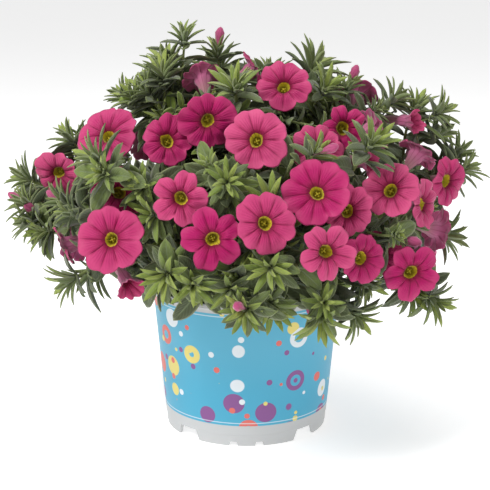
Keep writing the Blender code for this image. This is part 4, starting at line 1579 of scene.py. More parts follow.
@dataclass(frozen=True)
class PetalBack:
    """Under side of the limb and the tube: paler, silvery pink, with darker ribs."""

    silver: Colour = (0.520, 0.150, 0.290)
    pink: Colour = (0.430, 0.040, 0.150)
    rib: Colour = (0.230, 0.020, 0.075)
    tube: Colour = (0.360, 0.200, 0.180)

    def make(self) -> Material:
        """Makes the material.

        Returns:
            The material.
        """
        shader = Shader("petal_back", Specular_IOR_Level=0.25, Sheen_Weight=0.4, Sheen_Roughness=0.5)
        lobe, out = shader.pattern()
        cloud = shader.noise(160.0, 3.0)
        ribs = lobe.between(0.14, 0.0).maths("MAXIMUM", lobe.between(0.86, 1.0))
        colour = shader.mix(out.between(0.0, 1.0) * 0.6 + cloud * 0.4, self.silver, self.pink)
        colour = shader.mix(out.between(0.0, -0.6) * 0.7, colour, self.tube)
        colour = shader.mix(ribs * 0.5, colour, self.rib)
        shader.finish("Base Color", colour)
        shader.finish("Roughness", 0.52 + cloud * 0.16)
        shader.bump(ribs * 0.8 + shader.noise(800.0, 2.0) * 0.3, 0.0003, 0.5)
        return shader.material


@dataclass(frozen=True)
class PollenYellow:
    """Anthers and stigma in the throat."""

    pollen: Colour = (0.520, 0.440, 0.040)
    green: Colour = (0.400, 0.350, 0.030)

    def make(self) -> Material:
        """Makes the material.

        Returns:
            The material.
        """
        shader = Shader("pollen", Specular_IOR_Level=0.2)
        grain = shader.noise(1800.0, 3.0)
        shader.finish("Base Color", shader.mix(grain.between(0.35, 0.65), self.green, self.pollen))
        shader.finish("Roughness", 0.6 + grain * 0.3)
        shader.bump(grain, 0.0002, 0.8)
        return shader.material


@dataclass(frozen=True)
class PotFinish:
    """Satin white plastic with cloudy patches of painted shade, and a printed sky-blue band of dots and
    rings with painted highlight lines just inside its foot and top.
    """

    white: Colour = (0.600, 0.610, 0.615)
    sky: Colour = (0.075, 0.420, 0.620)
    pale_sky: Colour = (0.240, 0.590, 0.750)
    coral: Colour = (0.780, 0.170, 0.140)
    yellow: Colour = (0.820, 0.700, 0.210)
    violet: Colour = (0.270, 0.100, 0.300)
    pearl: Colour = (0.800, 0.860, 0.900)
    highlight_white: Colour = (0.800, 0.880, 0.920)
    shaded_white: Colour = (0.560, 0.560, 0.550)
    highlight_inset: float = 1.6
    dot_pitch: float = 17.0
    speck_pitch: float = 8.5

    def make(self) -> Material:
        """Makes the material.

        Returns:
            The material.
        """
        shader = Shader("pot_plastic", Specular_IOR_Level=0.35)
        place = shader.place()
        height = self.height(shader, place)
        scuffs = shader.noise(1600.0, 2.0)
        cloud = shader.noise(30.0, 2.0)
        print_area = height.between(BAND_FOOT[1] - 0.15, BAND_FOOT[1] + 0.15)
        print_area = print_area * height.between(BAND_TOP[1] + 0.15, BAND_TOP[1] - 0.15)
        radial = self.radius(shader, place).between(BAND_FOOT[0] - 1.0, BAND_FOOT[0] - 0.4)
        print_area = print_area * radial
        fade = height.between(24.0, 64.0)
        ink = shader.mix(fade * 0.2 + cloud * 0.06, self.sky, self.pale_sky)
        ink = self.dots(shader, place, ink)
        # Painted highlight: thin white lines just inside the band's foot and top stand in for light caught
        # by the label's edges.
        low, high = BAND_FOOT[1] + self.highlight_inset, BAND_TOP[1] - self.highlight_inset
        highlight_lines = height.line(low, 0.5).maths("MAXIMUM", height.line(high, 0.5))
        ink = shader.mix(highlight_lines * 0.75, ink, self.highlight_white)
        # Painted shade: cloudy noise darkens the white plastic in patches with a greyer white.
        plastic = shader.mix(cloud * 0.3, self.white, self.shaded_white)
        colour = shader.mix(print_area, plastic, ink)
        shader.finish("Base Color", colour)
        shader.finish("Roughness", 0.34 + scuffs * 0.12 + cloud * 0.06)
        shader.bump(scuffs * 0.5 + print_area * 0.4, 0.00006, 0.5)
        return shader.material

    def height(self, shader: Shader, place: Wire) -> Wire:
        """Height above the floor, in millimetres."""
        split = shader.node("ShaderNodeSeparateXYZ", {}, {0: place}, "Z")
        return split * 1000.0

    def radius(self, shader: Shader, place: Wire) -> Wire:
        """Works out the distance from the pot's axis.

        Args:
            shader: The material's shader.
            place: Object coordinates.

        Returns:
            The distance in millimetres.
        """
        flat = shader.node("ShaderNodeVectorMath", {"operation": "MULTIPLY"}, {0: place, 1: (1, 1, 0)})
        settings = {"operation": "LENGTH"}
        return shader.node("ShaderNodeVectorMath", settings, {0: flat}, "Value") * 1000.0

    def dots(self, shader: Shader, place: Wire, ink: Wire) -> Wire:
        """Prints large dots and rings, and small specks, over the band.

        Args:
            shader: The material's shader.
            place: Object coordinates.
            ink: The band's colour.

        Returns:
            The colour with the print on it.
        """
        palette = ((0.0, self.coral), (0.34, self.yellow), (0.62, self.violet), (0.84, self.pearl))
        for pitch, reach, hollow in ((self.dot_pitch, 0.36, True), (self.speck_pitch, 0.2, False)):
            settings = {"feature": "F1", "voronoi_dimensions": "3D"}
            inputs = {"Vector": place, "Scale": 1000.0 / pitch, "Randomness": 0.75}
            cell = shader.node("ShaderNodeTexVoronoi", settings, inputs, "Distance")
            share = shader.node("ShaderNodeSeparateColor", {}, {0: cell.twin("Color")}, "Red")
            second = share.twin("Green")
            colour = shader.ramp(share, *palette)
            colour.socket.node.color_ramp.interpolation = "CONSTANT"
            disc = cell.between(reach + 0.02, reach)
            if hollow:
                ring = disc * cell.between(reach * 0.58, reach * 0.62)
                heart = cell.between(reach * 0.34, reach * 0.3)
                open_dot = second.between(0.45, 0.46)
                disc = disc * (1.0 - open_dot) + ring.maths("MAXIMUM", heart) * open_dot
            ink = shader.mix(disc * second.between(0.12, 0.13), ink, colour)
        return ink


@dataclass(frozen=True)
class Peat:
    """Dark crumbly peat with paler fibres."""

    dark: Colour = (0.020, 0.014, 0.010)
    brown: Colour = (0.085, 0.055, 0.034)
    fibre: Colour = (0.200, 0.150, 0.100)

    def make(self) -> Material:
        """Makes the material.

        Returns:
            The material.
        """
        shader = Shader("peat", Specular_IOR_Level=0.15)
        crumb = shader.noise(300.0, 6.0)
        thread = shader.noise(120.0, 8.0).line(0.5, 0.02)
        colour = shader.mix(crumb.between(0.35, 0.7), self.dark, self.brown)
        colour = shader.mix(thread * 0.5, colour, self.fibre)
        shader.finish("Base Color", colour)
        shader.finish("Roughness", 0.85 + crumb * 0.14)
        shader.bump(crumb, 0.0012, 0.9)
        return shader.material


@dataclass(frozen=True)
class FloorPaper:
    """The plain pale floor under the pot."""

    paper: Colour = (0.86, 0.86, 0.86)
    cloudy: Colour = (0.88, 0.88, 0.88)
    glow: float = 0.52

    def make(self) -> Material:
        """Makes the material.

        Returns:
            The material.
        """
        constants = {"Roughness": 0.85, "Specular_IOR_Level": 0.1, "Emission_Strength": self.glow}
        shader = Shader("floor_paper", **constants)
        shader.finish("Base Color", shader.mix(shader.noise(6.0, 2.0), self.paper, self.cloudy))
        return shader.material


class Growth:
    """A Geometry Nodes tree that sets small shapes on a surface, each turned and sized at random."""

    cone = "GeometryNodeMeshCone"
    ball = "GeometryNodeMeshIcoSphere"
    sizes = ((0.6, 0.6, 0.45), (1.2, 1.2, 1.25))

    def __init__(self, name: str, shape: str, finish: Material, tilt: float) -> None:
        """Builds the tree.

        Args:
            name: The tree's name.
            shape: Type of the mesh node that makes one small shape.
            finish: The shapes' material.
            tilt: Radians by which a shape leans at most.
        """
        tree = bpy.data.node_groups.new(name, "GeometryNodeTree")
        self.tree, self.ids = tree, {}
        face = tree.interface
        face.new_socket("Surface", in_out="INPUT", socket_type="NodeSocketGeometry")
        face.new_socket("Shapes", in_out="OUTPUT", socket_type="NodeSocketGeometry")
        for label, kind in (("Density", "Float"), ("Length", "Float"), ("Radius", "Float"), ("Seed", "Int")):
            item = face.new_socket(label, in_out="INPUT", socket_type=f"NodeSocket{kind}")
            self.ids[label] = item.identifier
        made = tree.nodes.new
        start, end = made("NodeGroupInput"), made("NodeGroupOutput")
        spread, small = made("GeometryNodeDistributePointsOnFaces"), made(shape)
        lean, size = made("FunctionNodeRandomValue"), made("FunctionNodeRandomValue")
        turn, copies = made("FunctionNodeRotateRotation"), made("GeometryNodeInstanceOnPoints")
        real, paint = made("GeometryNodeRealizeInstances"), made("GeometryNodeSetMaterial")
        turn.rotation_space = "LOCAL"
        paint.inputs["Material"].default_value = finish
        leans = ((-tilt, -tilt, -math.pi), (tilt, tilt, math.pi))
        for node, (low, high) in ((lean, leans), (size, self.sizes)):
            node.data_type = "FLOAT_VECTOR"
            node.inputs["Min"].default_value = low
            node.inputs["Max"].default_value = high
        if shape == self.cone:
            small.inputs["Vertices"].default_value = 3
            small.inputs["Radius Top"].default_value = 0.0
            small.fill_type = "TRIANGLE_FAN"
            sizes = [(start, "Radius", small, "Radius Bottom"), (start, "Length", small, "Depth")]
        else:
            small.inputs["Subdivisions"].default_value = 1
            sizes = [(start, "Radius", small, "Radius")]
        for source, output, target, socket in [
            (start, "Surface", spread, "Mesh"),
            (start, "Density", spread, "Density"),
            (start, "Seed", spread, "Seed"),
            *sizes,
            (spread, "Rotation", turn, "Rotation"),
            (lean, "Value", turn, "Rotate By"),
            (start, "Seed", lean, "Seed"),
            (start, "Seed", size, "Seed"),
            (spread, "Points", copies, "Points"),
            (small, "Mesh", copies, "Instance"),
            (turn, "Rotation", copies, "Rotation"),
            (size, "Value", copies, "Scale"),
            (copies, "Instances", real, "Geometry"),
            (real, "Geometry", paint, "Geometry"),
            (paint, "Geometry", end, "Shapes"),
        ]:
            tree.links.new(source.outputs[output], target.inputs[socket])

    def apply(self, surface: Piece, name: str, **values: Any) -> Piece:
        """Sets the shapes on a surface and removes the surface.

        Args:
            surface: The object that they stand on.
            name: The new object's name.
            values: The tree's inputs by name.

        Returns:
            The shapes as one plain mesh object.
        """
        modifier = surface.modifiers.new("growth", "NODES")
        modifier.node_group = self.tree
        for label, value in values.items():
            modifier[self.ids[label]] = value
        mesh = plain_mesh(surface)
        bpy.data.objects.remove(surface)
        mesh.name = name
        return placed(name, mesh)


def declare(piece: Piece, slot: str, *nodes: str) -> None:
    """Attaches a piece to the root body, hides the solids that it replaces, and logs its triangles.

    Args:
        piece: The finished piece.
        slot: The material slot of the record that it belongs to; not used.
        nodes: Solids that it replaces.
    """
    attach(piece, "root")
    if nodes:
        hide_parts(*nodes)
    piece.data.calc_loop_triangles()
    LOG.info("%s: %d triangles", piece.name, len(piece.data.loop_triangles))


@dataclass
class NurseryPot:
    """The pot: lip with two fine ridges, tapered wall, raised floor and a foot ring with cut-outs."""

    sides: int = 160
    foot_radius: float = 46.9
    foot_wall: float = 1.8
    floor_under: float = 7.6
    arch_turns: tuple = (-45.0, 45.0, 135.0, 225.0)
    arch: tuple = (9.0, 6.0, 6.2)
    nick_offsets: tuple = (-9.0, 9.0)
    nick: tuple = (3.0, 1.8, 2.4)
    drain_radius: float = 3.5
    drain_ring: float = 34.0
    drain_count: int = 6
    drain_sides: int = 24
    drain_span: tuple[float, float] = (5.0, 12.0)
    bar_span: tuple[float, float] = (40.0, 52.0)
    sharp_angle: float = 32.0

    def profile(self) -> list[tuple[float, float]]:
        """Lists the wall's outline as (radius, height), from the floor's underside round to its top.

        Returns:
            The outline.
        """
        top_r, top_z = BAND_TOP
        foot_r, foot_z = BAND_FOOT
        lip, top = POT_HEIGHT - LIP_HEIGHT, POT_HEIGHT
        foot, under = self.foot_radius, self.floor_under
        inner, slope, rim = foot - self.foot_wall, BAND_SLOPE, RIM_RADIUS
        return [
            (0.0, under),
            (inner - 0.4, under),
            (inner, under - 0.4),
            (inner - 0.2, 0.2),
            (inner, 0.0),
            (foot - 0.2, 0.0),
            (foot, 0.2),
            (foot_r - slope * 6.0 - 0.3, foot_z - 6.0),
            (foot_r - slope * 5.6, foot_z - 5.7),
            (foot_r - slope * 5.2, foot_z - 5.2),
            (foot_r - slope * 1.4, foot_z - 1.2),
            (foot_r - 0.05, foot_z - 0.3),
            (foot_r, foot_z),
            (foot_r + slope * 22.0, foot_z + 22.0),
            (foot_r + slope * 44.0, foot_z + 44.0),
            (top_r, top_z),
            (top_r + 0.02, top_z + 0.3),
            (top_r + slope * 1.6, lip - 0.6),
            (top_r + slope * 2.2 + 0.1, lip),
            (rim - 0.2, lip + 0.2),
            (rim, lip + 0.5),
            (rim, lip + 0.9),
            (rim - 0.15, lip + 1.15),
            (rim, lip + 1.4),
            (rim, lip + 1.9),
            (rim - 0.15, lip + 2.15),
            (rim, top - 0.6),
            (rim - 0.15, top - 0.15),
            (rim - 0.5, top),
            (rim - 1.3, top),
            (rim - 1.65, top - 0.25),
            (top_r - WALL, top_z - 1.0),
            (foot_r - WALL, FLOOR_OVER + 1.2),
            (foot_r - WALL - 0.35, FLOOR_OVER + 0.3),
            (foot_r - WALL - 1.2, FLOOR_OVER),
            (0.0, FLOOR_OVER),
        ]

    def turned(self, profile: Sequence[tuple[float, float]], sides: int) -> Sketch:
        """Turns an outline round the pot's axis.

        Args:
            profile: Points as (radius, height), from pole to pole.
            sides: Steps round the axis.

        Returns:
            The closed shape.
        """
        sketch = Sketch()
        rows = []
        angles = round_angles(sides)
        for radius, height in profile:
            if radius < 1e-6:
                rows.append(np.full(sides, sketch.dot((0.0, 0.0, height))))
                continue
            ring = np.stack([radius * np.cos(angles), radius * np.sin(angles), angles * 0 + height], 1)
            rows.append(sketch.add(ring) + np.arange(sides))
        foot, top = rows[1], rows[-2]
        sketch.span(np.stack([rows[0], np.roll(foot, -1), foot], 1), 0)
        sketch.skin(rows[1:-1], 0)
        sketch.span(np.stack([top, np.roll(top, -1), rows[-1]], 1), 0)
        return sketch

    def bar(self, outline: Sequence[tuple[float, float]], turn: float) -> Sketch:
        """Makes a bar through the wall.

        Args:
            outline: Its section as (across, up).
            turn: The direction in which it points out.

        Returns:
            The closed bar.
        """
        out, side = heading(turn, 0.0), heading(turn + 90.0, 0.0)
        points = [out * r + side * x + np.array([0, 0, z]) for r in self.bar_span for x, z in outline]
        sketch = Sketch()
        sketch.add(np.array(points))
        count = len(outline)
        around = [[k, (k + 1) % count, count + (k + 1) % count, count + k] for k in range(count)]
        sketch.span(np.array([list(range(count))[::-1]]), 0)
        sketch.span(np.array([list(range(count, 2 * count))]), 0)
        sketch.span(np.array(around), 0)
        return sketch

    def peg(self, turn: float) -> Sketch:
        """Makes the peg that cuts one drain hole.

        Args:
            turn: The direction in which the hole lies.

        Returns:
            The closed peg.
        """
        centre, count = heading(turn, 0.0) * self.drain_ring, self.drain_sides
        angles = round_angles(count)
        sketch = Sketch()
        for z in self.drain_span:
            x = centre[0] + self.drain_radius * np.cos(angles)
            y = centre[1] + self.drain_radius * np.sin(angles)
            sketch.add(np.stack([x, y, np.full(count, z)], 1))
        low, high = np.arange(count), np.arange(count) + count
        sketch.span(np.array([low[::-1]]), 0)
        sketch.span(np.array([high]), 0)
        sketch.skin((low, high), 0)
        return sketch

    def build(self, finish: Material) -> Piece:
        """Builds the pot and cuts its arches, nicks and drain holes.

        Args:
            finish: The pot's material.

        Returns:
            The pot.
        """
        pot = self.turned(self.profile(), self.sides).make("nursery_pot", [finish])
        cutters = bpy.data.collections.new("cutters")
        bpy.context.scene.collection.children.link(cutters)
        shapes = []
        for turn in self.arch_turns:
            shapes.append(self.bar(self.trapezium(*self.arch), turn))
            for offset in self.nick_offsets:
                shapes.append(self.bar(self.trapezium(*self.nick), turn + 45.0 + offset))
        for k in range(self.drain_count):
            shapes.append(self.peg((k + 0.5) * 360.0 / self.drain_count))
        for k, shape in enumerate(shapes):
            cutter = shape.make(f"cutter_{k}", [finish])
            bpy.context.scene.collection.objects.unlink(cutter)
            cutters.objects.link(cutter)
        modifier = pot.modifiers.new("cut", "BOOLEAN")
        modifier.operation, modifier.solver = "DIFFERENCE", "EXACT"
        modifier.operand_type, modifier.collection = "COLLECTION", cutters
        pot.data = plain_mesh(pot)
        for cutter in list(cutters.objects):
            bpy.data.objects.remove(cutter)
        bpy.data.collections.remove(cutters)
        pot.data.set_sharp_from_angle(angle=math.radians(self.sharp_angle))
        return pot

    def trapezium(self, half_width: float, half_top: float, height: float) -> list[tuple[float, float]]:
        """Outline of a cut-out that starts below the floor."""
        return [(-half_width, -2.0), (half_width, -2.0), (half_top, height), (-half_top, height)]


@dataclass
class SoilBed:
    """The root ball of peat, rough on top, with loose crumbs."""

    rings: int = 26
    steps: int = 96
    roughness: float = 0.9
    seed: int = 5
    crumb_density: float = 90000.0
    crumb_radius: float = 0.0009
    crumb_lean: float = 1.5
    crumb_reach: float = 46.0
    crumb_sides: int = 24

    def build(self, finish: Material) -> Piece:
        """Builds the root ball.

        Args:
            finish: The soil's material.

        Returns:
            The soil.
        """
        rng = np.random.default_rng(self.seed)
        top_r = BAND_FOOT[0] - WALL - 0.7 + BAND_SLOPE * (SOIL_EDGE_Z - FLOOR_OVER - 2.3)
        foot_r = BAND_FOOT[0] - WALL - 0.9
        low = FLOOR_OVER + 0.5
        profile = [(0.0, low), (foot_r - 1.5, low), (foot_r, low + 1.5), (top_r, SOIL_EDGE_Z)]
        for k in range(1, self.rings):
            share = 1.0 - k / self.rings
            profile.append((top_r * share, SOIL_MIDDLE_Z - (SOIL_MIDDLE_Z - SOIL_EDGE_Z) * share**3))
        profile.append((0.0, SOIL_MIDDLE_Z))
        sketch = NurseryPot().turned(profile, self.steps)
        for k, points in enumerate(sketch.points):
            if k > 4:
                points[:, 2] += rng.uniform(-self.roughness, self.roughness * 0.4, len(points))
        return sketch.make("soil_bed", [finish])

    def crumbs(self, finish: Material) -> Piece:
        """Scatters loose crumbs over the soil.

        Args:
            finish: Their material.

        Returns:
            The crumbs.
        """
        sketch = Sketch()
        angles, reach = round_angles(self.crumb_sides), self.crumb_reach
        ring = [reach * np.cos(angles), reach * np.sin(angles), angles * 0 + SOIL_EDGE_Z + 1.0]
        sketch.add(np.stack(ring, 1))
        middle, k = sketch.dot((0.0, 0.0, SOIL_MIDDLE_Z)), np.arange(self.crumb_sides)
        sketch.span(np.stack([k, np.roll(k, -1), np.full(self.crumb_sides, middle)], 1), 0)
        surface = sketch.make("crumb_surface", [finish])
        growth = Growth("crumb_scatter", Growth.ball, finish, self.crumb_lean)
        values = {"Density": self.crumb_density, "Radius": self.crumb_radius, "Seed": self.seed}
        return growth.apply(surface, "soil_crumbs", **values)


@dataclass
class BloomMaker:
    """Makes a bloom: a ruffled limb of five lobes, its throat, its tube and its pollen."""

    bloom: Bloom
    lobe_steps: int = 18
    plait: float = 0.95
    ruffle: float = 1.4
    edge_thickness: float = 0.25
    middle_thickness: float = 0.7
    limb_shares: tuple = (0.0, 0.04, 0.1, 0.18, 0.28, 0.38, 0.5, 0.62, 0.74, 0.85, 0.94, 1.0)
    well: tuple = ((0.5, -5.0, -0.8), (0.68, -3.2, -0.5), (0.85, -1.5, -0.24), (0.96, -0.4, -0.06))
    well_depth: float = 7.0
    bead_sides: int = 8
    tube: tuple = ((3.0, -6.6), (2.55, -9.0), (2.2, -11.4), (1.95, -13.6), (1.85, -TUBE_LENGTH))

    def build(self, finishes: Sequence[Material]) -> Piece:
        """Builds the bloom.

        Args:
            finishes: Materials of the limb's face, its back and the pollen.

        Returns:
            The bloom.
        """
        bloom = self.bloom
        rng = random.Random(bloom.name)
        (middle_z, notch_z, lobe_z), notch, throat = LIMB_FORMS[bloom.form]
        count = LOBES * self.lobe_steps
        angle = round_angles(count)
        turn = (angle * LOBES / (2 * math.pi)) % 1.0
        off = np.abs(turn - 0.5) * 2.0
        lobe_number = (angle * LOBES / (2 * math.pi)).astype(int)
        stretch = np.array([rng.uniform(0.96, 1.03) for _ in range(LOBES)])[lobe_number]
        lift = np.array([rng.uniform(-2.6, 1.8) for _ in range(LOBES)])[lobe_number]
        depth = np.array([rng.uniform(0.5, 1.35) for _ in range(LOBES)])[lobe_number]
        radius = bloom.span / 2
        power = 4.0 if bloom.form == "round" else 2.6
        edge = radius * (1.0 - (1.0 - notch) * off**power)
        edge = edge * (1.0 + (stretch - 1.0) * (1 - off**2)) - 0.6 * np.exp(-((off / 0.18) ** 2))
        edge = edge * (1.0 + 0.035 * np.sin(angle * 2 + rng.uniform(0, 6)))
        edge = edge + 0.3 * np.sin(angle * 13 + rng.uniform(0, 6)) * (1 - off**3)
        edge_z = lobe_z + (notch_z - lobe_z) * off**2 + lift * (1 - off**2) * 0.8
        waves = [(3, rng.uniform(0, 6)), (7, rng.uniform(0, 6)), (11, rng.uniform(0, 6))]
        ruffle = sum(np.sin(angle * n + p) / (1 + 0.25 * n) for n, p in waves) * self.ruffle

        def height(share: float) -> Array:
            """Works out the height of the limb's upper side.

            Args:
                share: Share of the way from the throat to the edge.

            Returns:
                The height above the mouth at each angle.
            """
            near = np.interp(share, (0, 0.1, 0.24, 0.42, 0.7, 1), (0, 0.5, 0.82, 1, 0.5, 0)) * middle_z
            far = np.interp(share, (0.42, 0.7, 1), (0, 0.5, 1)) * edge_z
            sinus = np.exp(-(((1 - off) / 0.1) ** 2))
            crease = -self.plait * (0.55 * np.exp(-((off / 0.12) ** 2)) + sinus) * depth
            puff = 0.5 * np.sin(np.pi * off) - 0.9 * off**2 * share
            fade = 0.3 + 0.7 * np.sin(np.pi * share**0.8)
            return near + far + (crease + puff) * fade * min(share * 4, 1) + ruffle * share**1.8

        side, up = across(bloom.facing(), bloom.spin)
        facing, mouth = bloom.facing(), np.array(bloom.mouth, float)
        radial = spokes(angle, side, up)
        sketch, tone = Sketch(), rng.random()

        def ring(r: Any, z: Any, out: float) -> Array:
            """Adds one ring of points.

            Args:
                r: Radius, one or one for each angle.
                z: Height above the mouth, likewise.
                out: Pattern coordinate from the throat outwards.

            Returns:
                The points' indices.
            """
            points = mouth + radial * np.broadcast_to(r, count)[:, None]
            points = points + np.broadcast_to(z, count)[:, None] * facing
            uv = np.stack([off, np.full(count, out)], 1)
            return sketch.add(points, uv, tone) + np.arange(count)

        mouth_r = throat * (0.97 + 0.07 * np.cos(angle * 2 + rng.uniform(0, 6)) - 0.05 * off)
        upper, shares = [], np.array(self.limb_shares)
        for size, z, out in self.well:
            upper.append(ring(mouth_r * size, z, out))
        for share in shares:
            r = mouth_r + (edge - mouth_r) * share
            upper.append(ring(r, height(share), float(share)))
        under = [upper[-1]]
        for share in shares[::-1][1:-2]:
            thick = self.middle_thickness + (self.edge_thickness - self.middle_thickness) * share
            r = throat + (edge - throat) * share
            under.append(ring(r + 0.3 * (1 - share), height(share) - thick, float(share)))
        flare = ((throat + 1.1, -1.0), (throat + 0.75, -2.2), (throat * 0.95, -4.2))
        swell = 1.0 + 0.06 * np.cos(angle * LOBES)
        for size, z in (*flare, *self.tube):
            limit = throat + 1.0 + z * 0.12
            under.append(ring(swell * min(size, limit), z, z / TUBE_LENGTH))
        bottom = sketch.dot(mouth - facing * self.well_depth, tone, 0.5, -1.0)
        foot = sketch.dot(mouth - facing * TUBE_LENGTH, tone, 0.5, -1.0)
        for slot, rows in enumerate((upper, under)):
            for low, high in zip(rows, rows[1:]):
                sketch.span(np.stack([low, high, np.roll(high, -1), np.roll(low, -1)], 1), slot)
        sketch.fan(bottom, upper[0], 0)
        sketch.fan(foot, under[-1], 1, foot=True)
        self.pollen(sketch, mouth, facing, side, up, throat)
        return sketch.make(f"{bloom.name}_petals", finishes)

    def pollen(
        self, sketch: Sketch, mouth: Array, facing: Array, side: Array, up: Array, throat: float
    ) -> None:
        """Sets four anthers and a stigma in the throat.

        Args:
            sketch: What they go into.
            mouth: Middle of the throat.
            facing: The bloom's direction.
            side: First vector square to it.
            up: Second vector square to it.
            throat: The throat's radius.
        """
        for k in range(5):
            a = k * math.pi / 2 + 0.4
            out = spoke(a, side, up) * (throat * 0.3 if k < 4 else 0.0)
            centre = mouth + out - facing * (3.0 if k < 4 else 2.4)
            self.bead(sketch, centre, facing, side, up, 0.5 if k < 4 else 0.65)

    def bead(
        self, sketch: Sketch, centre: Array, facing: Array, side: Array, up: Array, size: float
    ) -> None:
        """Adds a small round bead.

        Args:
            sketch: What it goes into.
            centre: Its middle.
            facing: Its axis.
            side: First vector square to it.
            up: Second vector square to it.
            size: Its radius.
        """
        radial = spokes(round_angles(self.bead_sides), side, up)
        rows = []
        for lift in (-0.7, 0.0, 0.7):
            ring = centre + radial * size * math.sqrt(1 - lift**2) + facing * lift * size
            rows.append(sketch.add(ring) + np.arange(self.bead_sides))
        ends = [sketch.dot(centre + facing * s * size) for s in (-1, 1)]
        sketch.skin(rows, 2)
        sketch.fan(ends[0], rows[0], 2, foot=True)
        sketch.fan(ends[1], rows[-1], 2)


@dataclass
class StemMaker:
    """Makes one leafy stem from its plan: round tubes, leaves, rosettes, calyxes and buds."""

    stem: Stem
    room: Room
    seed: int
    sides: int = 8
    bud_share: float = 0.18
    rosette: tuple = (
        (64.0, 1.35, 0.5, 0.5, 4),
        (42.0, 1.4, 0.36, 0.8, 5),
        (25.0, 1.35, 0.31, 0.95, 5),
        (9.0, 1.05, 0.27, 1.0, 4),
    )
    rosette_leaf: float = 11.5
    rosette_least_width: float = 2.4
    calyx_reach: float = 3.6
    sepal_length: tuple[float, float] = (7.0, 9.5)
    sepal_width: float = 2.3
    sepal_spread: tuple[float, float] = (20.0, 34.0)
    sepal_bend: float = 0.35
    broad_width: float = 4.0
    bud_profile: tuple = ((-1.0, 0.7), (3.0, 1.1), (6.0, 1.5), (9.0, 2.3), (11.5, 2.5), (14.0, 1.2))
    bud_ends: tuple = (-1.2, 14.8)
    bud_sides: int = 10
    broad: BladeMaker = field(default_factory=lambda: BladeMaker(BladeForm()))
    narrow: BladeMaker = field(default_factory=lambda: BladeMaker(NARROW_BLADE))

    def build(self, finishes: Sequence[Material]) -> Piece:
        """Builds the stem.

        Args:
            finishes: Materials of leaf face, leaf back, bark and buds.

        Returns:
            The stem.
        """
        rng = random.Random(self.seed)
        sketch = Sketch()
        for tube in self.stem.tubes:
            self.draw_tube(sketch, tube)
            for _, leaves in tube.nodes:
                for leaf in leaves.values():
                    # Tone rises with height and falls with leaf size, so lower, larger leaves are darker:
                    # partly their age, partly painted shade deep in the foliage.
                    low = np.clip((leaf.root[2] - 95.0) / 110.0, 0.0, 1.0)
                    small = np.clip(1.15 - leaf.length / LEAF_LENGTH, 0.0, 1.0)
                    tone = 0.1 + 0.16 * low + 0.5 * small + rng.uniform(-0.12, 0.2)
                    leaf = replace(leaf, width=leaf.width * rng.uniform(1.1, 1.25))
                    maker = self.broad if leaf.width > self.broad_width else self.narrow
                    maker.draw(sketch, leaf, float(np.clip(tone, 0, 1)), rng.uniform(0, 6))
            if tube.tuft:
                self.draw_rosette(sketch, tube, rng)
                if tube.kind == "sprig" and rng.random() < self.bud_share:
                    self.draw_bud(sketch, tube, rng)
            if tube.end:
                self.draw_calyx(sketch, tube, rng)
        return sketch.make(f"{self.stem.name}_growth", finishes)

    def smooth(self, points: Array) -> Array:
        """Rounds a line's corners, its ends kept.

        Args:
            points: The line.

        Returns:
            Points about 3 mm apart.
        """
        line = points
        for _ in range(2):
            cut = np.stack([0.75 * line[:-1] + 0.25 * line[1:], 0.25 * line[:-1] + 0.75 * line[1:]], 1)
            line = np.vstack([points[:1], cut.reshape(-1, 3), points[-1:]])
        return resampled(line, 3.0)

    def draw_tube(self, sketch: Sketch, tube: Tube) -> None:
        """Draws a round tube, closed at both ends.

        Args:
            sketch: What it goes into.
            tube: Its plan.
        """
        points = self.smooth(tube.points)
        fine = Tube(points, tube.radii, tube.kind)
        frames = fine.frames()
        frames.append(frames[-1])
        shares = np.linspace(0.0, 1.0, len(points))
        radii = tube.radii[0] + (tube.radii[1] - tube.radii[0]) * shares
        if tube.end:
            reach = np.linalg.norm(points - points[-1], axis=1)
            cup = np.interp(reach, [0, self.calyx_reach], [CALYX_RADIUS, tube.radii[1]])
            radii = np.where(reach < self.calyx_reach, cup, radii)
        angle = round_angles(self.sides)
        rows = []
        for point, radius, share, (ahead, side) in zip(points, radii, shares, frames):
            radial = spokes(angle, side, np.cross(ahead, side))
            uv = np.stack([angle / (2 * math.pi), np.full(self.sides, share)], 1)
            tone = 0.35 + 0.65 * share if tube.kind == "main" else 0.9
            rows.append(sketch.add(point + radial * radius, uv, tone) + np.arange(self.sides))
        ends = [sketch.dot(p, 0.9) for p in (points[0], points[-1])]
        sketch.skin(rows, Slot.BARK.value)
        sketch.fan(ends[0], rows[0], Slot.BARK.value, foot=True)
        sketch.fan(ends[1], rows[-1], Slot.BARK.value)

    def draw_rosette(self, sketch: Sketch, tube: Tube, rng: Dice) -> None:
        """Draws the whorls of narrow bright leaves that end a shoot.

        Args:
            sketch: What they go into.
            tube: The shoot.
            rng: Source of their variety.
        """
        total = tube.steps()[-1]
        for whorl, (spread, long, slim, bright, count) in enumerate(self.rosette):
            distance = total - NODE_HEIGHT * (1.9 - 0.6 * whorl)
            for k in range(count):
                index = 4.0 * k / count + 0.5 * whorl + rng.uniform(-0.18, 0.18)
                lean = spread + rng.uniform(-9, 9)
                for scale in (1.0, 0.8, 0.6):
                    length = self.rosette_leaf * tube.tuft * long * scale * rng.uniform(0.88, 1.1)
                    width = max(self.rosette_least_width, length * slim * 0.62)
                    twist = rng.uniform(-14, 14)
                    leaf = leaf_at(tube, distance, index, lean, length, width, 0.55, twist)
                    test = leaf.points()
                    if self.room.meets_bloom(test, 0.5) or self.room.meets_pot(test, 1.4):
                        continue
                    tone = bright * 0.92 + rng.uniform(-0.1, 0.08)
                    self.narrow.draw(sketch, leaf, tone, rng.uniform(0, 6))
                    break

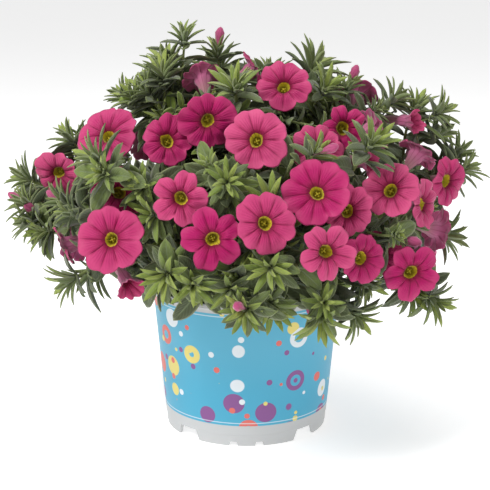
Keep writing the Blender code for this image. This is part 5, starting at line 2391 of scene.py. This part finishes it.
    def draw_bud(self, sketch: Sketch, tube: Tube, rng: Dice) -> None:
        """Draws a furled bud among a rosette's leaves.

        Args:
            sketch: What it goes into.
            tube: The sprig that carries it.
            rng: Source of its size and lean.
        """
        ahead = unit(tube.points[-1] - tube.points[-2])
        side, up = across(ahead, rng.uniform(0, 360))
        axis = unit(ahead + side * rng.uniform(0.2, 0.5))
        side, up = across(axis)
        angle = round_angles(self.bud_sides)
        off = np.abs((angle * LOBES / (2 * math.pi)) % 1.0 - 0.5) * 2.0
        size, rows = rng.uniform(0.8, 1.15), []
        for reach, radius in self.bud_profile:
            radial = spokes(angle + reach * 0.09, side, up)
            swell = radius * size * (1.0 + 0.13 * off)[:, None]
            points = tube.points[-1] + axis * reach * size + radial * swell
            uv = np.stack([off, np.full(self.bud_sides, reach / 14.0)], 1)
            rows.append(sketch.add(points, uv) + np.arange(self.bud_sides))
        foot, tip = (tube.points[-1] + axis * size * reach for reach in self.bud_ends)
        ends = [sketch.dot(p, 0.5, 0.5, 1.0) for p in (foot, tip)]
        sketch.skin(rows, Slot.BUD.value)
        sketch.fan(ends[0], rows[0], Slot.BUD.value, foot=True)
        sketch.fan(ends[1], rows[-1], Slot.BUD.value)

    def draw_calyx(self, sketch: Sketch, tube: Tube, rng: Dice) -> None:
        """Draws the five sepals that hold a bloom's tube.

        Args:
            sketch: What they go into.
            tube: The bloom's stalk.
            rng: Source of their variety.
        """
        facing = np.array(tube.end)
        side, up = across(facing, rng.uniform(0, 70))
        for k in range(LOBES):
            angle = 2 * math.pi * k / LOBES
            radial = spoke(angle, side, up)
            tilt = math.radians(rng.uniform(*self.sepal_spread))
            along = facing * math.cos(tilt) + radial * math.sin(tilt)
            face = facing * math.sin(tilt) - radial * math.cos(tilt)
            root = tube.points[-1] - facing * 0.6 + radial * CALYX_RADIUS * 0.85
            size = (rng.uniform(*self.sepal_length), self.sepal_width)
            leaf = Leaf(root, along, face, *size, self.sepal_bend)
            self.narrow.draw(sketch, leaf, rng.uniform(0.35, 0.7), rng.uniform(0, 6))


@dataclass
class Studio:
    """Camera, floor and soft lights."""

    focal: float = 94.3
    camera_place: tuple = (-0.0008, -0.7238, 0.2824)
    camera_tilt: float = 76.265
    floor_size: float = 16.0
    lit_point: tuple = (0.0, 0.0, 0.12)
    lights: tuple = (
        ("key", (-0.75, -0.7, 1.25), 0.5, 15.0),
        ("fill", (1.05, -0.75, 0.7), 1.1, 2.4),
        ("top", (0.1, 0.35, 1.4), 0.9, 6.5),
    )
    background: float = 0.38

    def build(self) -> None:
        """Sets up the floor, the camera, the lights and the background."""
        self.floor()
        self.camera()
        for light in self.lights:
            self.light(*light)
        world = bpy.data.worlds.new("studio")
        bpy.context.scene.world = world
        world.use_nodes = True
        background = world.node_tree.nodes["Background"]
        background.inputs["Color"].default_value = (1.0, 1.0, 1.0, 1.0)
        background.inputs["Strength"].default_value = self.background
        bpy.context.scene.view_settings.view_transform = "Standard"

    def floor(self) -> None:
        """Lays the floor."""
        half = self.floor_size * 1000 / 2
        sketch = Sketch()
        corners = np.array([[-half, -half, 0], [half, -half, 0], [half, half, 0], [-half, half, 0]])
        sketch.add(corners)
        sketch.span(np.array([[0, 1, 2, 3]]), 0)
        sketch.make("floor", [FloorPaper().make()])

    def camera(self) -> None:
        """Places the camera at the photograph's viewing angle."""
        data = bpy.data.cameras.new("camera")
        data.lens, data.sensor_width = self.focal, 36.0
        camera = placed("camera", data)
        camera.location = self.camera_place
        camera.rotation_euler = (math.radians(self.camera_tilt), 0.0, 0.0)
        bpy.context.scene.camera = camera

    def light(self, name: str, place: tuple, size: float, power: float) -> None:
        """Hangs a soft light that looks at the plant.

        Args:
            name: Its name.
            place: Where it hangs, in metres.
            size: Its side, in metres.
            power: Its power, in watts.
        """
        data = bpy.data.lights.new(name, "AREA")
        data.size, data.energy = size, power
        lamp = placed(name, data)
        lamp.location = place
        back = unit(np.array(place) - np.array(self.lit_point))
        lamp.rotation_euler = (math.acos(back[2]), 0.0, math.atan2(back[0], -back[1]))


@dataclass
class StemHairs:
    """Fine clear hairs on all stems and calyxes."""

    density: float = 400000.0
    length: float = 0.0015
    radius: float = 0.00006
    lean: float = 0.5
    sides: int = 5
    seed: int = 3

    def build(self, stems: Sequence[Stem], finish: Material) -> Piece:
        """Sets the hairs.

        Args:
            stems: The plant's stems.
            finish: The hairs' material.

        Returns:
            The hairs.
        """
        sketch = Sketch()
        for stem in stems:
            maker = StemMaker(stem, Room(), 0, sides=self.sides)
            for tube in stem.tubes:
                maker.draw_tube(sketch, tube)
        for faces in sketch.slots:
            faces[:] = 0
        surface = sketch.make("hair_surface", [finish])
        growth = Growth("hair_scatter", Growth.cone, finish, self.lean)
        values = {"Density": self.density, "Length": self.length, "Radius": self.radius, "Seed": self.seed}
        return growth.apply(surface, "stem_hairs", **values)


def main() -> None:
    """Builds every piece, in order."""
    logging.basicConfig(level=logging.INFO, format="%(message)s")
    studio = Studio()
    studio.build()
    pot_finish, peat = PotFinish().make(), Peat().make()
    declare(NurseryPot().build(pot_finish), "pot", "pot")
    bed = SoilBed()
    declare(bed.build(peat), "soil", "soil")
    declare(bed.crumbs(peat), "soil")
    plan = Plan()
    plan.grow()
    Foliage(plan).grow()
    leaf, petal = LeafGreen(), PetalFace().make()
    back = PetalBack().make()
    greens = [leaf.make(), leaf.make(under=True), StemGreen().make(), back]
    for k, stem in enumerate(plan.stems):
        piece = StemMaker(stem, plan.room, 100 + k).build(greens)
        declare(piece, "leaf", stem.name)
    declare(StemHairs().build(plan.stems, HairDown().make()), "leaf")
    pollen = PollenYellow().make()
    for bloom in plan.room.blooms:
        declare(BloomMaker(bloom).build([petal, back, pollen]), "petal", bloom.name)


if __name__ == "__main__":
    main()
